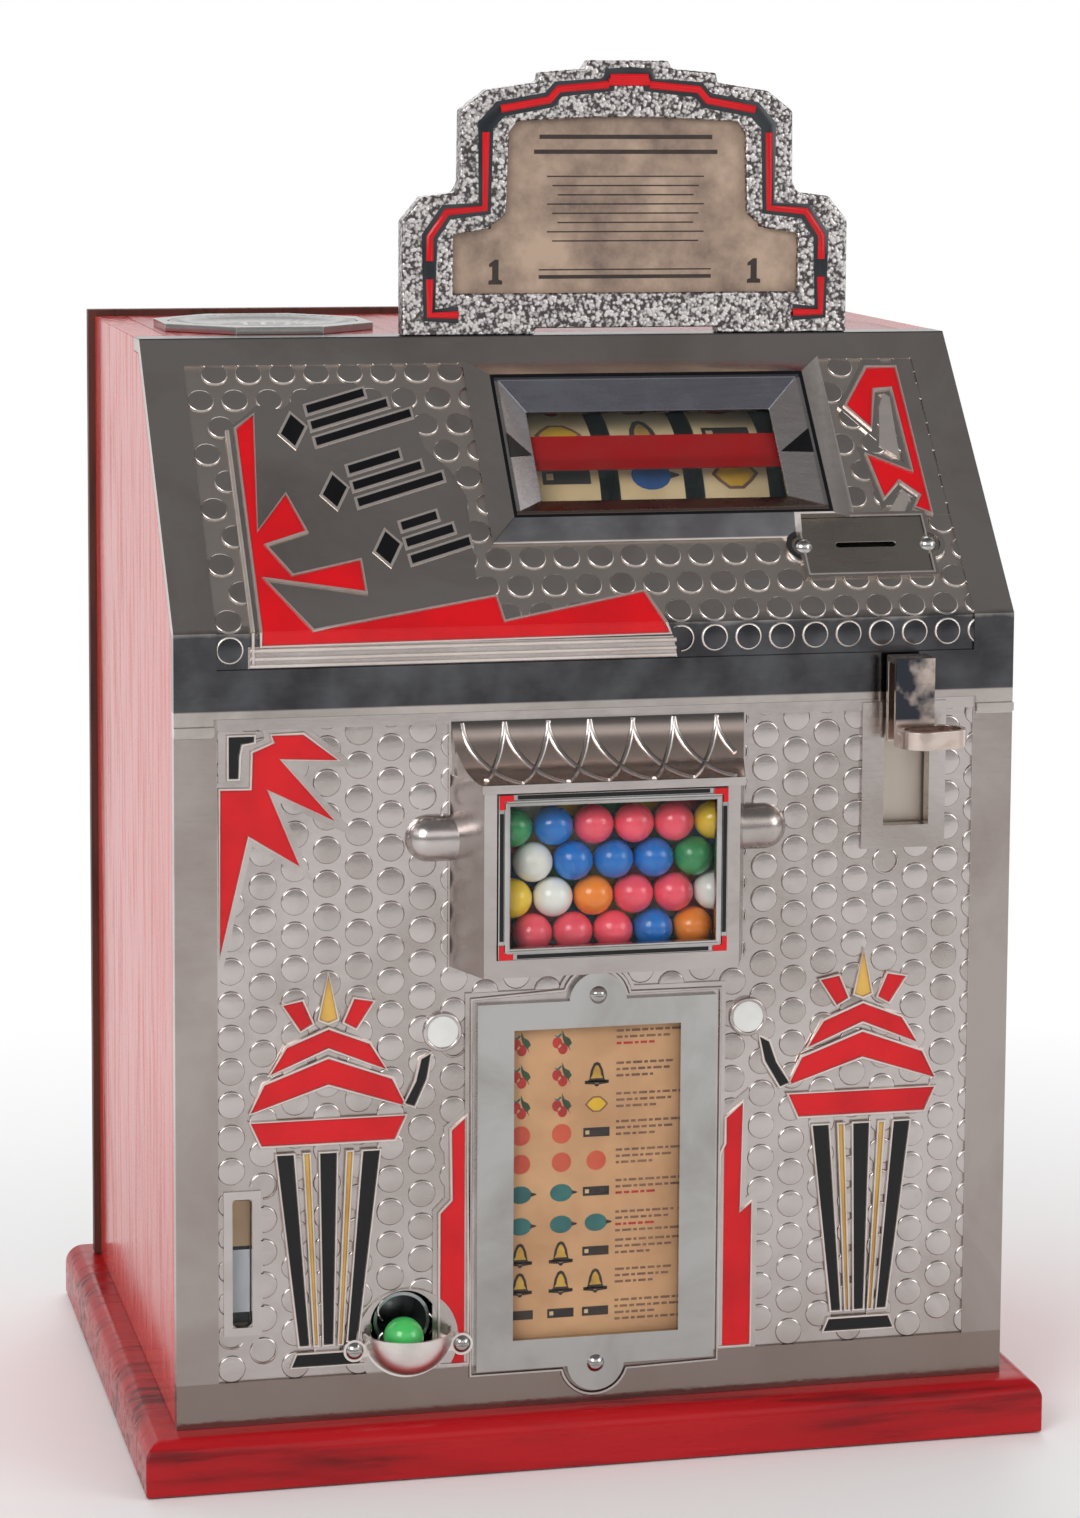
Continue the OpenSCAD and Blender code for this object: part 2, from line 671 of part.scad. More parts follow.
module lever_guide() {
    color("darkgray") {
        for (side = [-1, 1]) {
            x0 = lever_x + side * 14.2 - 1;
            box([x0, cast_t, guide_z0], [x0 + 2, 14, joint_z + 22]);
            xin = side > 0 ? x0 - 2.4 : x0;
            box([xin, slide_y0 + slide_t + seat, slide_z1 - lever_travel - 12],
                [xin + 4.4, 14, slide_z1 - lever_travel - 4]);
            box([xin, slide_y0 + slide_t + seat, guide_z0 + 20], [xin + 4.4, 14, guide_z0 + 30]);
        }
        box([lever_x - 15.2, cast_t, guide_z0], [lever_x + 15.2, slide_y0 + 13, guide_z0 + 2]);
    }
}
// a coil drawn as a closed tube that follows a helix
function ring(c, t, r, sides) = [for (j = [0:sides - 1])
    c + r * (cos(360 * j / sides) * [cos(t), sin(t), 0] + sin(360 * j / sides) * [0, 0, 1])];
module helix_tube(coil_r, wire_r, height, turns, sides, steps) {
    n = turns * steps;
    pts = [for (i = [0:n]) each ring([coil_r * cos(360 * i / steps), coil_r * sin(360 * i / steps),
        wire_r + (height - 2 * wire_r) * i / n], 360 * i / steps, wire_r, sides)];
    walls = [for (i = [0:n - 1], j = [0:sides - 1]) [i * sides + j, i * sides + (j + 1) % sides,
        (i + 1) * sides + (j + 1) % sides, (i + 1) * sides + j]];
    polyhedron(points = pts, faces = concat([[for (j = [sides - 1:-1:0]) j]], walls,
        [[for (j = [0:sides - 1]) n * sides + j]]), convexity = 8);
}
module lever_spring() {
    color("gainsboro") translate([lever_x, slide_y0 + 6.3, guide_z0 + 2])
        helix_tube(3.6, 0.5, slide_z0 - guide_z0 - 2, 9, 6, 14);
}

// Gum filler
flange_t = 3;
lid_r = 35.4;
module filler_collar() {
    color("whitesmoke") difference() {
        union() {
            rod_flange();
            rod_z(cab_h - board_t - 6, cab_h + 1, filler_x, filler_y, filler_neck_r);
        }
        rod_z(cab_h - board_t - 7, cab_h + flange_t + 1, filler_x, filler_y, filler_neck_r - 1.6);
        rod_z(cab_h + 1.4, cab_h + flange_t + 1, filler_x, filler_y, lid_r + seat);
    }
}
module rod_flange() {
    translate([filler_x, filler_y, cab_h]) rotate([0, 0, 22.5]) cylinder(h = flange_t, r = filler_d / 2, $fn = 8);
}
module filler_lid() {
    dish = [[0, -2.2], [22, -2.2], [30, 0.6], [filler_neck_r - 2, 1.4], [lid_r, 1.4], [lid_r, 2.8],
        [lid_r - 3, 3.2], [28, 2], [20, -0.6], [0, -0.6]];
    color("whitesmoke") translate([filler_x, filler_y, cab_h]) rotate_extrude() polygon(dish);
}

// Reel mechanism
reel_s = window_s + 6.4;
reel_y = slope_y(reel_s, -reel_deep - reel_d / 2);
reel_z = slope_z(reel_s, -reel_deep - reel_d / 2);
shelf_z1 = 250;
shelf_t = 4;
shelf_y0 = 58;
cleat = 12;
function reel_x(i) = window_x + (i - 2) * reel_pitch;
star_r = 40;
notch_r = 35;
star_t = 2.5;
star_gap = 1.7;
function star_x(i) = reel_x(i) - reel_w / 2 - star_gap - star_t;
plate_t = 2;
foot_out = 9;
plate_l_x = star_x(1) - 2.1 - plate_t;
plate_r_x = reel_x(3) + reel_w / 2 + 2.7;
pawl_py = reel_y + 53.7;
pawl_pz = reel_z + 31;
pawl_shaft_r = 3;
drive_r = 4;
module shelf_cleats() {
    color("peru") for (side = [-1, 1]) {
        x0 = side > 0 ? inner_x - cleat : -inner_x;
        box([x0, shelf_y0, shelf_z1 - shelf_t - cleat], [x0 + cleat, cab_d - 14, shelf_z1 - shelf_t]);
    }
}
module mech_shelf() {
    color("slategray") box([-inner_x + seat, shelf_y0, shelf_z1 - shelf_t], [inner_x - seat, cab_d - 12, shelf_z1]);
}
// how far the side plates reach behind and above the reels' centre
plate_back = reel_d / 2 + 28;
plate_up = reel_d / 2 + 12;
tie_spots = [[reel_y + plate_back - 10, reel_z - reel_d / 2 + 2], [reel_y + plate_back - 12, reel_z + plate_up - 10],
    [shelf_y0 + 6, shelf_z1 + 5]];
module mech_plate(x0) {
    outline = [[shelf_y0, shelf_z1], [reel_y + plate_back, shelf_z1], [reel_y + plate_back, reel_z + plate_up - 14],
        [reel_y + plate_up, reel_z + plate_up], [reel_y - 4, reel_z + plate_up], [drive_y - 8, drive_z + 8], [drive_y - 8, shelf_z1 + 7], [shelf_y0, shelf_z1 + 7]];
    difference() {
        union() {
            side_view(x0, x0 + plate_t) difference() {
                polygon(outline);
                translate([reel_y + 34, reel_z - 30]) circle(13);
                translate([reel_y + 30, reel_z + 34]) circle(11);
            }
        }
        rod_x(x0 - 1, x0 + plate_t + 1, reel_y, reel_z, shaft_d / 2 + slip);
        rod_x(x0 - 1, x0 + plate_t + 1, drive_y, drive_z, drive_r + slip);
        rod_x(x0 - 1, x0 + plate_t + 1, pawl_py, pawl_pz, pawl_shaft_r + slip);
        for (p = tie_spots) rod_x(x0 - 1, x0 + plate_t + 1, p[0], p[1], 3);
    }
    foot_x = x0 < window_x ? x0 - foot_out : x0;
    box([foot_x, shelf_y0 + 12, shelf_z1], [foot_x + foot_out + plate_t, reel_y + plate_back - 8, shelf_z1 + plate_t]);
}
module mech_plate_left() { color("lightslategray") mech_plate(plate_l_x); }
module mech_plate_right() { color("lightslategray") mech_plate(plate_r_x); }
module mech_ties() {
    color("silver") for (p = tie_spots) {
        rod_x(plate_l_x + plate_t, plate_r_x, p[0], p[1], 4);
        rod_x(plate_l_x - 3, plate_r_x + plate_t + 3, p[0], p[1], 3 - slip);
    }
}
module reel_shaft() {
    color("silver") {
        rod_x(plate_l_x - 4, plate_r_x + plate_t + 4, reel_y, reel_z, shaft_d / 2);
        for (x = [plate_l_x - 3.2, plate_r_x + plate_t + 0.2])
            rod_x(x, x + 3, reel_y, reel_z, shaft_d / 2 + 3);
    }
}
rim_t = 1.5;
hub_r = 9;
module star_outline() {
    step = 360 / stops;
    polygon([for (k = [0:stops - 1], p = [[star_r, 0.5], [star_r, 0.86], [notch_r, 1], [star_r, 1.14]])
        p[0] * [cos((k + p[1]) * step + pawl_stop_a), sin((k + p[1]) * step + pawl_stop_a)]]);
}
// angle of the notch that the pawl's nose sits in, seen along X
pawl_stop_a = 76;
module reel_drum(i) {
    x0 = reel_x(i) - reel_w / 2;
    color("dimgray") translate([x0, reel_y, reel_z]) rotate([90, 0, 90]) difference() {
        union() {
            linear_extrude(reel_w) difference() {
                circle(reel_d / 2 - 0.4);
                circle(reel_d / 2 - 0.4 - rim_t);
            }
            translate([0, 0, 3]) linear_extrude(rim_t) difference() {
                circle(reel_d / 2 - 1);
                for (k = [0:5]) rotate(k * 60) translate([28, 0]) circle(11);
            }
            translate([0, 0, -star_gap - star_t]) cylinder(h = reel_w + star_gap + star_t + 2, r = hub_r);
            translate([0, 0, -star_gap - star_t]) linear_extrude(star_t) difference() {
                star_outline();
                for (k = [0:5]) rotate(k * 60) translate([22, 0]) circle(8);
            }
        }
        translate([0, 0, -10]) cylinder(h = reel_w + 20, r = shaft_d / 2 + slip);
    }
}
module reel_drum_1() { reel_drum(1); }
module reel_drum_2() { reel_drum(2); }
module reel_drum_3() { reel_drum(3); }
module reel_strip(i) {
    color("cornsilk") translate([reel_x(i) - reel_w / 2 + 0.3, reel_y, reel_z]) rotate([90, 0, 90])
        linear_extrude(reel_w - 0.6) difference() {
            circle(reel_d / 2);
            circle(reel_d / 2 - 0.4);
        }
}
module reel_strip_1() { reel_strip(1); }
module reel_strip_2() { reel_strip(2); }
module reel_strip_3() { reel_strip(3); }
module pawl_shaft() {
    color("silver") rod_x(plate_l_x - 2, plate_r_x + plate_t + 2, pawl_py, pawl_pz, pawl_shaft_r);
}
nose_in = 1.4;
pawl_lift = 10;
module stop_pawl(i) {
    step = 360 / stops;
    knee = star_r + 7;
    nose = notch_r + nose_in;
    a = pawl_stop_a;
    w = 2.1;
    arm = [[pawl_py, pawl_pz + 4], [pawl_py - 2, pawl_pz - 4],
        [reel_y + (star_r + 2.4) * cos(a - 22), reel_z + (star_r + 2.4) * sin(a - 22)],
        [reel_y + (star_r + 1.2) * cos(a) + w, reel_z + (star_r + 1.2) * sin(a) - 0.4],
        [reel_y + nose * cos(a) + 0.3, reel_z + nose * sin(a)],
        [reel_y + nose * cos(a) - 0.3, reel_z + nose * sin(a)],
        [reel_y + (star_r + 1.2) * cos(a) - w, reel_z + (star_r + 1.2) * sin(a) + 0.4],
        [reel_y + knee * cos(a) - 2, reel_z + knee * sin(a) + 1],
        [reel_y + (star_r + 8) * cos(a - 22), reel_z + (star_r + 8) * sin(a - 22)]];
    // drawn seated in its notch, then lifted clear of the star wheel
    color("steelblue") translate([0, pawl_py, pawl_pz]) rotate([-pawl_lift, 0, 0])
        translate([0, -pawl_py, -pawl_pz]) difference() {
        union() {
            side_view(star_x(i), star_x(i) + star_t) polygon(arm);
            rod_x(star_x(i) - 0.4, star_x(i) + star_t + 1, pawl_py, pawl_pz, 6);
        }
        rod_x(star_x(i) - 5, star_x(i) + 10, pawl_py, pawl_pz, pawl_shaft_r + slip);
    }
}
module stop_pawl_1() { stop_pawl(1); }
module stop_pawl_2() { stop_pawl(2); }
module stop_pawl_3() { stop_pawl(3); }
// drive shaft with a crank for the lever and an arm for each reel
kick_l = 39.5;
kick_mid = atan2(reel_z - drive_z, reel_y - drive_y);
crank_x = lever_x - 7.5;
module kicker() {
    color("orange") {
        rod_x(plate_l_x - 3, crank_x + 1, drive_y, drive_z, drive_r);
        for (i = [1:3]) translate([star_x(i), drive_y, drive_z]) rotate([90, 0, 90]) linear_extrude(star_t)
            rotate(kick_mid - crank_a) union() {
                circle(7);
                polygon([[0, -5], [0, 5], [kick_l - 6, 3], [kick_l, 1.5], [kick_l, -2.5]]);
            }
        translate([crank_x - 2.5, drive_y, drive_z]) rotate([90, 0, 90]) linear_extrude(2.5)
            rotate(180 - crank_a) union() {
                circle(7);
                polygon([[0, -5], [0, 5], [crank_l, 3], [crank_l, -3]]);
                translate([crank_l, 0]) circle(3.2);
            }
        rod_x(crank_x - 2.5, crank_x + 8, roller_y, roller_z, roller_r - 1.3);
        rod_x(crank_x + 2.4, crank_x + 8, roller_y, roller_z, roller_r);
    }
}

// Gum path: duct, magazine, wheel and delivery tube
sheet = 1.2;
mag_x0 = -101;
mag_x1 = mid_x + house_w / 2 + 4;
mag_y0 = cast_t + seat;
mag_y1 = 49;
mag_top = 256;
floor_l = 179.5;
floor_r = 186;
wheel_x = -71;
wheel_r = 18;
wheel_z = floor_l - 22;
path_y0 = 16;
path_y1 = 34;
module gum_duct() {
    color("lightsteelblue") difference() {
        hull() {
            rod_z(cab_h - board_t - 12, cab_h - board_t - 6, filler_x, filler_y, 36);
            box([mag_x0, mag_y0 + 3, mag_top + seat], [plate_l_x - 10, mag_y1, mag_top + 3]);
        }
        hull() {
            rod_z(cab_h - board_t - 12, cab_h - board_t - 5, filler_x, filler_y, 36 - sheet);
            box([mag_x0 + sheet, mag_y0 + 3 + sheet, mag_top], [plate_l_x - 10 - sheet, mag_y1 - sheet, mag_top + 3]);
        }
    }
}
module gum_magazine() {
    outer = [[mag_x0, mag_top], [mag_x1, mag_top], [mag_x1, floor_r], [wheel_x + 13, floor_l], [wheel_x - 13, floor_l],
        [mag_x0, floor_l + 15]];
    inner = [[mag_x0 + sheet, mag_top + 1], [mag_x1 - sheet, mag_top + 1], [mag_x1 - sheet, floor_r + sheet],
        [wheel_x + 13, floor_l + sheet], [wheel_x - 13, floor_l + sheet], [mag_x0 + sheet, floor_l + 15 + sheet]];
    color("lightsteelblue") difference() {
        front_view(mag_y0, mag_y1) polygon(outer);
        front_view(mag_y0 + sheet, mag_y1 - sheet) polygon(inner);
        box([mid_x - house_w / 2 - 1, 0, house_z + house_sill + 0.3], [mag_x1 - sheet, mag_y0 + 5, house_top - house_wall]);
        box([wheel_x - 9, path_y0, floor_l - 5], [wheel_x + 9, path_y1, floor_l + 5]);
    }
}
// one layer of balls behind the glass, in staggered rows, and one more behind it
row_h = ball_d * 0.885;
ball_gap = ball_d + 0.3;
module ball_layer(y, z0, shift) {
    for (r = [0:3]) {
        odd = (r + shift) % 2;
        for (k = [0:4 + odd])
            translate([mid_x + 2.9 + (k - 2 - odd / 2) * ball_gap, y, z0 + r * row_h]) sphere(ball_d / 2);
    }
}
module gum_balls() {
    color("tomato") {
        ball_layer(4 - house_out + ball_d / 2, house_z + 13.2, 0);
        ball_layer(5.5 - house_out + 1.5 * ball_d, house_z + 19.5, 1);
    }
}
module gum_wheel() {
    color("khaki") difference() {
        union() {
            rod_y(path_y0 + 0.6, path_y1 - 0.6, wheel_x, wheel_z, wheel_r);
            rod_y(path_y0 - 2.5, path_y1 + 8, wheel_x, wheel_z, 3);
        }
        for (k = [0:3]) rotate_about(wheel_x, wheel_z, k * 90)
            rod_y(path_y0, path_y1, wheel_x, wheel_z + 14, ball_d / 2 + 0.6);
    }
}
module rotate_about(x, z, a) { translate([x, 0, z]) rotate([0, a, 0]) translate([-x, 0, -z]) children(); }
module gum_wheel_housing() {
    color("lightslategray") difference() {
        union() {
            rod_y(path_y0 - 1.6, path_y1 + 1.6, wheel_x, wheel_z, wheel_r + 2);
            box([wheel_x - 11, path_y0 - 1.6, wheel_z + 10], [wheel_x + 11, path_y1 + 1.6, floor_l]);
        }
        rod_y(path_y0, path_y1, wheel_x, wheel_z, wheel_r + 0.4);
        rod_y(path_y0 - 5, path_y1 + 5, wheel_x, wheel_z, 3 + slip);
        box([wheel_x - 9, path_y0, wheel_z], [wheel_x + 9, path_y1, floor_l + 1]);
        box([wheel_x - 9, path_y0, wheel_z - 25], [wheel_x + 9, path_y1, wheel_z]);
    }
}
tube_r = 10.2;
tube_top = wheel_z - wheel_r - 2 - seat;
tube_y = (path_y0 + path_y1) / 2;
tube_z = cup_z + 5.7;
module gum_tube() {
    color("lightsteelblue") difference() {
        union() {
            rod_z(tube_z, tube_top, wheel_x, tube_y, tube_r);
            rod_y(cast_t + seat, tube_y, wheel_x, tube_z, tube_r);
            translate([wheel_x, tube_y, tube_z]) sphere(tube_r);
            box([wheel_x - 13, path_y0 - 1.6, tube_top - 3], [wheel_x + 13, path_y1 + 1.6, tube_top]);
        }
        rod_z(tube_z, tube_top + 1, wheel_x, tube_y, tube_r - sheet);
        rod_y(0, tube_y, wheel_x, tube_z, tube_r - sheet);
        translate([wheel_x, tube_y, tube_z]) sphere(tube_r - sheet);
    }
}

// Coin path: from the slot down to the view window, which opens over the cash box
race_y0 = cast_t + seat;
race_y1 = race_y0 + 5;
race_h = 24;
race_x = 94;
race_z = 134;
duct_x0 = race_x - 24;
// the chute hangs below the coin slot and bends down to the race
throat_n = cast_t + 10.5;
throat_w = coin_slot / 2 + 3.7;
throat_z = slope_z(plate_s, -throat_n) + 3;
duct_y0 = slope_y(plate_s, -throat_n) - 3.6;
duct_y1 = duct_y0 + 5.2;
bend_z = race_z + 56;
module coin_chute() {
    floor_z = throat_z - 30;
    x0 = plate_x - throat_w;
    x1 = plate_x + throat_w;
    throat = [[x1, throat_z], [x1, throat_z - 15], [race_x, floor_z], [race_x, bend_z], [duct_x0, bend_z],
        [duct_x0, throat_z - 7], [x0, throat_z]];
    lane = [[x1 - sheet, throat_z + 2], [x1 - sheet, throat_z - 14.3], [race_x - sheet, floor_z + 0.8],
        [race_x - sheet, bend_z - 1], [duct_x0 + sheet, bend_z - 1], [duct_x0 + sheet, throat_z - 8],
        [x0 + sheet, throat_z - 1], [x0 + sheet, throat_z + 2]];
    bend = [[duct_y0, bend_z + 4], [duct_y1, bend_z + 4], [duct_y1, bend_z], [race_y1, bend_z - 26],
        [race_y1, race_z + race_h + seat], [race_y0, race_z + race_h + seat], [race_y0, bend_z - 23],
        [duct_y0, bend_z + 1]];
    bend_lane = [[duct_y0 + 1, bend_z + 5], [duct_y1 - 1, bend_z + 5], [duct_y1 - 1, bend_z + 0.4],
        [race_y1 - 1, bend_z - 25.6], [race_y1 - 1, race_z], [race_y0 + 1, race_z], [race_y0 + 1, bend_z - 23.4],
        [duct_y0 + 1, bend_z + 0.6]];
    color("lightsteelblue") {
        on_slope() translate([plate_x, plate_s, -throat_n]) difference() {
            translate([0.5 - throat_w, -4, 0]) cube([2 * throat_w - 1, 8, 10.5 - slip]);
            translate([1.7 - throat_w, -2.6, -1.5]) cube([2 * throat_w - 3.4, 5.2, 15]);
        }
        difference() {
            front_view(duct_y0, duct_y1) polygon(throat);
            front_view(duct_y0 + 1, duct_y1 - 1) polygon(lane);
        }
        difference() {
            side_view(duct_x0, race_x) polygon(bend);
            side_view(duct_x0 + sheet, race_x - sheet) polygon(bend_lane);
        }
    }
}
module coin_race() {
    run_z = view_z1 + 6;
    run = [[view_x - 5.5, run_z], [race_x, race_z], [race_x, race_z + race_h], [view_x - 5.5, run_z + race_h]];
    lane = [[view_x - 4.3, run_z + 1.2], [race_x - sheet, race_z + 1.2], [race_x - sheet, race_z + race_h + 2],
        [duct_x0 + sheet, race_z + race_h + 2], [duct_x0 + sheet, race_z + race_h - 4.4],
        [view_x - 4.3, run_z + race_h - 1.2]];
    color("lightsteelblue") difference() {
        front_view(race_y0, race_y1) union() {
            polygon(run);
            area(view_x - 5.5, view_z0 - 3, view_x + 5.5, run_z + 2);
        }
        front_view(race_y0 + 1, race_y1 - 1) polygon(lane);
        front_view(race_y0 - 1, race_y1 - 1) area(view_x - 4.3, view_z0 - 4, view_x + 4.3, run_z + 3);
    }
}
cash_x0 = 40.5 - inner_x;
cash_x1 = inner_x - 25.5;
cash_y0 = shelf_y0;
cash_y1 = cab_d - 20;
cash_h = 50;
pull_x = (cash_x0 + cash_x1) / 2;
pull_w = 40;
module cash_box() {
    top = base_t + cash_h;
    color("olivedrab") {
        difference() {
            box([cash_x0, cash_y0, base_t + slip], [cash_x1, cash_y1, top]);
            box([cash_x0 + sheet, cash_y0 + sheet, base_t + sheet], [cash_x1 - sheet, cash_y1 - sheet, top + 1]);
        }
        difference() {
            box([pull_x - pull_w / 2, cash_y1, top - 22], [pull_x + pull_w / 2, cash_y1 + 7, top - 16]);
            box([pull_x - pull_w / 2 + 4, cash_y1 - 1, top - 23], [pull_x + pull_w / 2 - 4, cash_y1 + 3, top - 15]);
        }
    }
}

base_board();
side_panel_left();
side_panel_right();
top_board();
rear_door();
hinge_frame_leaves();
hinge_door_leaves();
hinge_pins();
lock_cylinder();
lock_plug();
front_casting();
head_casting();
marquee_frame();
marquee_card();
marquee_backplate();
reel_bezel();
reel_glass();
line_strip();
coin_plate();
front_screws();
gum_frame();
gum_glass();
card_frame();
card_glass();
award_card();
gum_cup();
cup_ball();
coin_glass();
thumb_lever();
lever_slide();
lever_guide();
lever_spring();
filler_collar();
filler_lid();
shelf_cleats();
mech_shelf();
mech_plate_left();
mech_plate_right();
mech_ties();
reel_shaft();
reel_drum_1();
reel_drum_2();
reel_drum_3();
reel_strip_1();
reel_strip_2();
reel_strip_3();
pawl_shaft();
stop_pawl_1();
stop_pawl_2();
stop_pawl_3();
kicker();
gum_duct();
gum_magazine();
gum_balls();
gum_wheel();
gum_wheel_housing();
gum_tube();
coin_chute();
coin_race();
cash_box();
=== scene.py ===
import bpy, bmesh, math
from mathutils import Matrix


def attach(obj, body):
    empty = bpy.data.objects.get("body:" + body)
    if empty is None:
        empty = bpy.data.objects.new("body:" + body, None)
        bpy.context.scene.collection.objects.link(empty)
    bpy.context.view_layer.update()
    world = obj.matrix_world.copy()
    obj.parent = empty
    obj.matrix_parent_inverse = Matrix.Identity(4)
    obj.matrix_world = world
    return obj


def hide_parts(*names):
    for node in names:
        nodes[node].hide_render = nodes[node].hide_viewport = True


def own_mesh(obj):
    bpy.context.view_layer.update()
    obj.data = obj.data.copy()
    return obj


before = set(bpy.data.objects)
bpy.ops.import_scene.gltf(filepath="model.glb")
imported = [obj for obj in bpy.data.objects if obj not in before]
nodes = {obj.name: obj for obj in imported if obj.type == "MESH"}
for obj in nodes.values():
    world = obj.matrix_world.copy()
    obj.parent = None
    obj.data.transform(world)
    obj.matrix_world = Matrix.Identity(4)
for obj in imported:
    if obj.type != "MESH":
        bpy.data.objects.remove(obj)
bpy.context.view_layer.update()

# Camera, lights and floor
# A counter-top gum machine on a white table, seen from its left front corner and a little above.
# One large soft lamp stands at the left front, a weaker one at the right, one hangs over the top and
# a faint one stands behind.
mm = 0.001


def drop_selection():
    """object mode with nothing selected"""
    if bpy.context.mode != "OBJECT":
        bpy.ops.object.mode_set(mode="OBJECT")
    bpy.ops.object.select_all(action="DESELECT")


def stain(red, green, blue):
    """a colour as it is seen on the object, made linear"""
    linear = [v / 255 / 12.92 if v < 11 else ((v / 255 + 0.055) / 1.055) ** 2.4 for v in (red, green, blue)]
    return (*linear, 1.0)


def join(tree, taker, joined):
    """puts values or links on a node's inputs"""
    for socket, value in joined.items():
        if isinstance(value, bpy.types.NodeSocket):
            tree.links.new(value, taker.inputs[socket])
        else:
            taker.inputs[socket].default_value = value


def part_of(tree, kind, joined={}, **settings):
    """a shader node with its settings and with values or links on its inputs"""
    new = tree.nodes.new("ShaderNode" + kind)
    for name, value in settings.items():
        setattr(new, name, value)
    join(tree, new, joined)
    return new


def reckon(tree, kind, *values, **settings):
    """what a Math node makes of its values"""
    return part_of(tree, "Math", dict(enumerate(values)), operation=kind, **settings).outputs[0]


def mask_of(tree, value, low, high, start=0.0, end=1.0):
    """how far a value has come from low to high, as a number between start and end"""
    return part_of(tree, "MapRange", {"Value": value, "From Min": low, "From Max": high,
                                      "To Min": start, "To Max": end}).outputs[0]


def level_of(tree, share, first, second):
    """a number between two by a mask"""
    return part_of(tree, "Mix", {"Factor": share, "A": first, "B": second}).outputs[0]


def axis_of(tree, place, axis):
    """one coordinate of a place"""
    return part_of(tree, "SeparateXYZ", {"Vector": place}).outputs[axis]


def ramp_of(tree, share, first, last, between):
    """a run of colours along a mask"""
    ramp = part_of(tree, "ValToRGB", {"Fac": share})
    stops = ramp.color_ramp.elements
    stops[0].color = first
    stops[1].color = last
    for spot, colour in between:
        stops.new(spot).color = colour
    return ramp.outputs[0]


def seen_plainly(tree):
    """the kinds of ray, and a mask of what the camera sees straight or through glass"""
    rays = part_of(tree, "LightPath").outputs
    return rays, reckon(tree, "MAXIMUM", rays["Is Camera Ray"], rays["Is Transmission Ray"])


def new_finish(name, **values):
    """a material with a Principled BSDF: (material, its tree, its shader, Object coordinates)"""
    finish = bpy.data.materials.new(name)
    finish.use_nodes = True
    tree = finish.node_tree
    shader = tree.nodes["Principled BSDF"]
    join(tree, shader, {socket.replace("_", " "): value for socket, value in values.items()})
    return finish, tree, shader, part_of(tree, "TexCoord").outputs["Object"]


camera_place, pitch, roll, yaw = (-0.3444, -1.3657, 0.4991), 6.66, -0.34, -13.19
drop_selection()
bpy.ops.object.camera_add(location=camera_place, rotation=[math.radians(v) for v in (90 - pitch, roll, yaw)])
camera = bpy.context.object
camera.data.sensor_fit = "VERTICAL"
camera.data.sensor_height = 36
camera.data.lens = 95.8
camera.data.shift_y = -0.1502
bpy.context.scene.camera = camera
bpy.context.scene.view_settings.view_transform = "Standard"

for place, aim, size, power in (((-1.5, -1.7, 1.5), (0, 0, 0.25), 1.2, 27),
                                ((1.7, -1.3, 0.9), (0, 0.1, 0.25), 1.0, 9),
                                ((0.1, 1.0, 1.6), (0, 0.1, 0.3), 1.0, 5),
                                ((0.3, 2.0, 1.2), (0, 0.2, 0.25), 1.2, 3)):
    bpy.ops.object.light_add(type="AREA", location=place)
    lamp = bpy.context.object
    lamp.data.size = size
    lamp.data.energy = power
    reach = [b - a for a, b in zip(place, aim)]
    lamp.rotation_euler = (math.atan2(math.hypot(reach[0], reach[1]), -reach[2]), 0,
                           math.atan2(-reach[0], reach[1]))

# polished metal sees a grey room with a bright band at the lamps' height, a dark ceiling, and white behind
room_steps = ((0.5, 0.34), (0.6, 0.4), (0.66, 1.1), (0.76, 1.1), (0.84, 0.32), (0.9, 0.2))
room_low, room_high, room_back, daylight = 0.34, 0.19, 0.6, 0.6
world = bpy.data.worlds.new("studio")
bpy.context.scene.world = world
world.use_nodes = True
tree = world.node_tree
way = part_of(tree, "TexCoord").outputs["Generated"]
height = axis_of(tree, way, "Z")
room = ramp_of(tree, mask_of(tree, height, -1.0, 1.0), (room_low,) * 3 + (1,), (room_high,) * 3 + (1,),
               [(spot, (level,) * 3 + (1,)) for spot, level in room_steps])
white_back = reckon(tree, "MULTIPLY", mask_of(tree, axis_of(tree, way, "Y"), 0.3, 0.7),
                    mask_of(tree, height, 0.5, 0.2))
room = level_of(tree, white_back, room, room_back)
rays, clear = seen_plainly(tree)
lit = level_of(tree, rays["Is Glossy Ray"], daylight, room)
join(tree, tree.nodes["Background"], {"Color": level_of(tree, clear, lit, 1.0)})

drop_selection()
bpy.ops.mesh.primitive_circle_add(vertices=64, radius=9, fill_type="NGON", location=(0, 0, -0.0005))
floor = bpy.context.object
floor.name = "table_top"
bpy.ops.object.transform_apply()
table_white, tree, shader, place = new_finish("table_white", Base_Color=(0.9, 0.9, 0.9, 1), Roughness=0.6)
# the table fades to white away from the machine, and behind it gloss sees that white too
away = part_of(tree, "VectorMath", {0: place}, operation="LENGTH").outputs["Value"]
rays, seen = seen_plainly(tree)
gloss = reckon(tree, "MULTIPLY", rays["Is Glossy Ray"], mask_of(tree, axis_of(tree, place, "Y"), 0.1, 0.5))
shown = reckon(tree, "MULTIPLY", reckon(tree, "MAXIMUM", seen, gloss), mask_of(tree, away, 0.24, 0.7))
glow = part_of(tree, "Emission", {"Strength": 1.0})
blend = part_of(tree, "MixShader", {0: shown, 1: shader.outputs[0], 2: glow.outputs[0]})
join(tree, tree.nodes["Material Output"], {"Surface": blend.outputs[0]})
floor.data.materials.append(table_white)

# Base board
# A thick oak board with a rounded edge, stained deep red so that the open grain shows darker, and varnished. The
# front grain runs across.


def noise_of(tree, place, scale, detail, **more):
    """a cloudy pattern between 0 and 1"""
    return part_of(tree, "TexNoise", {"Vector": place, "Scale": scale, "Detail": detail, **more}).outputs["Fac"]


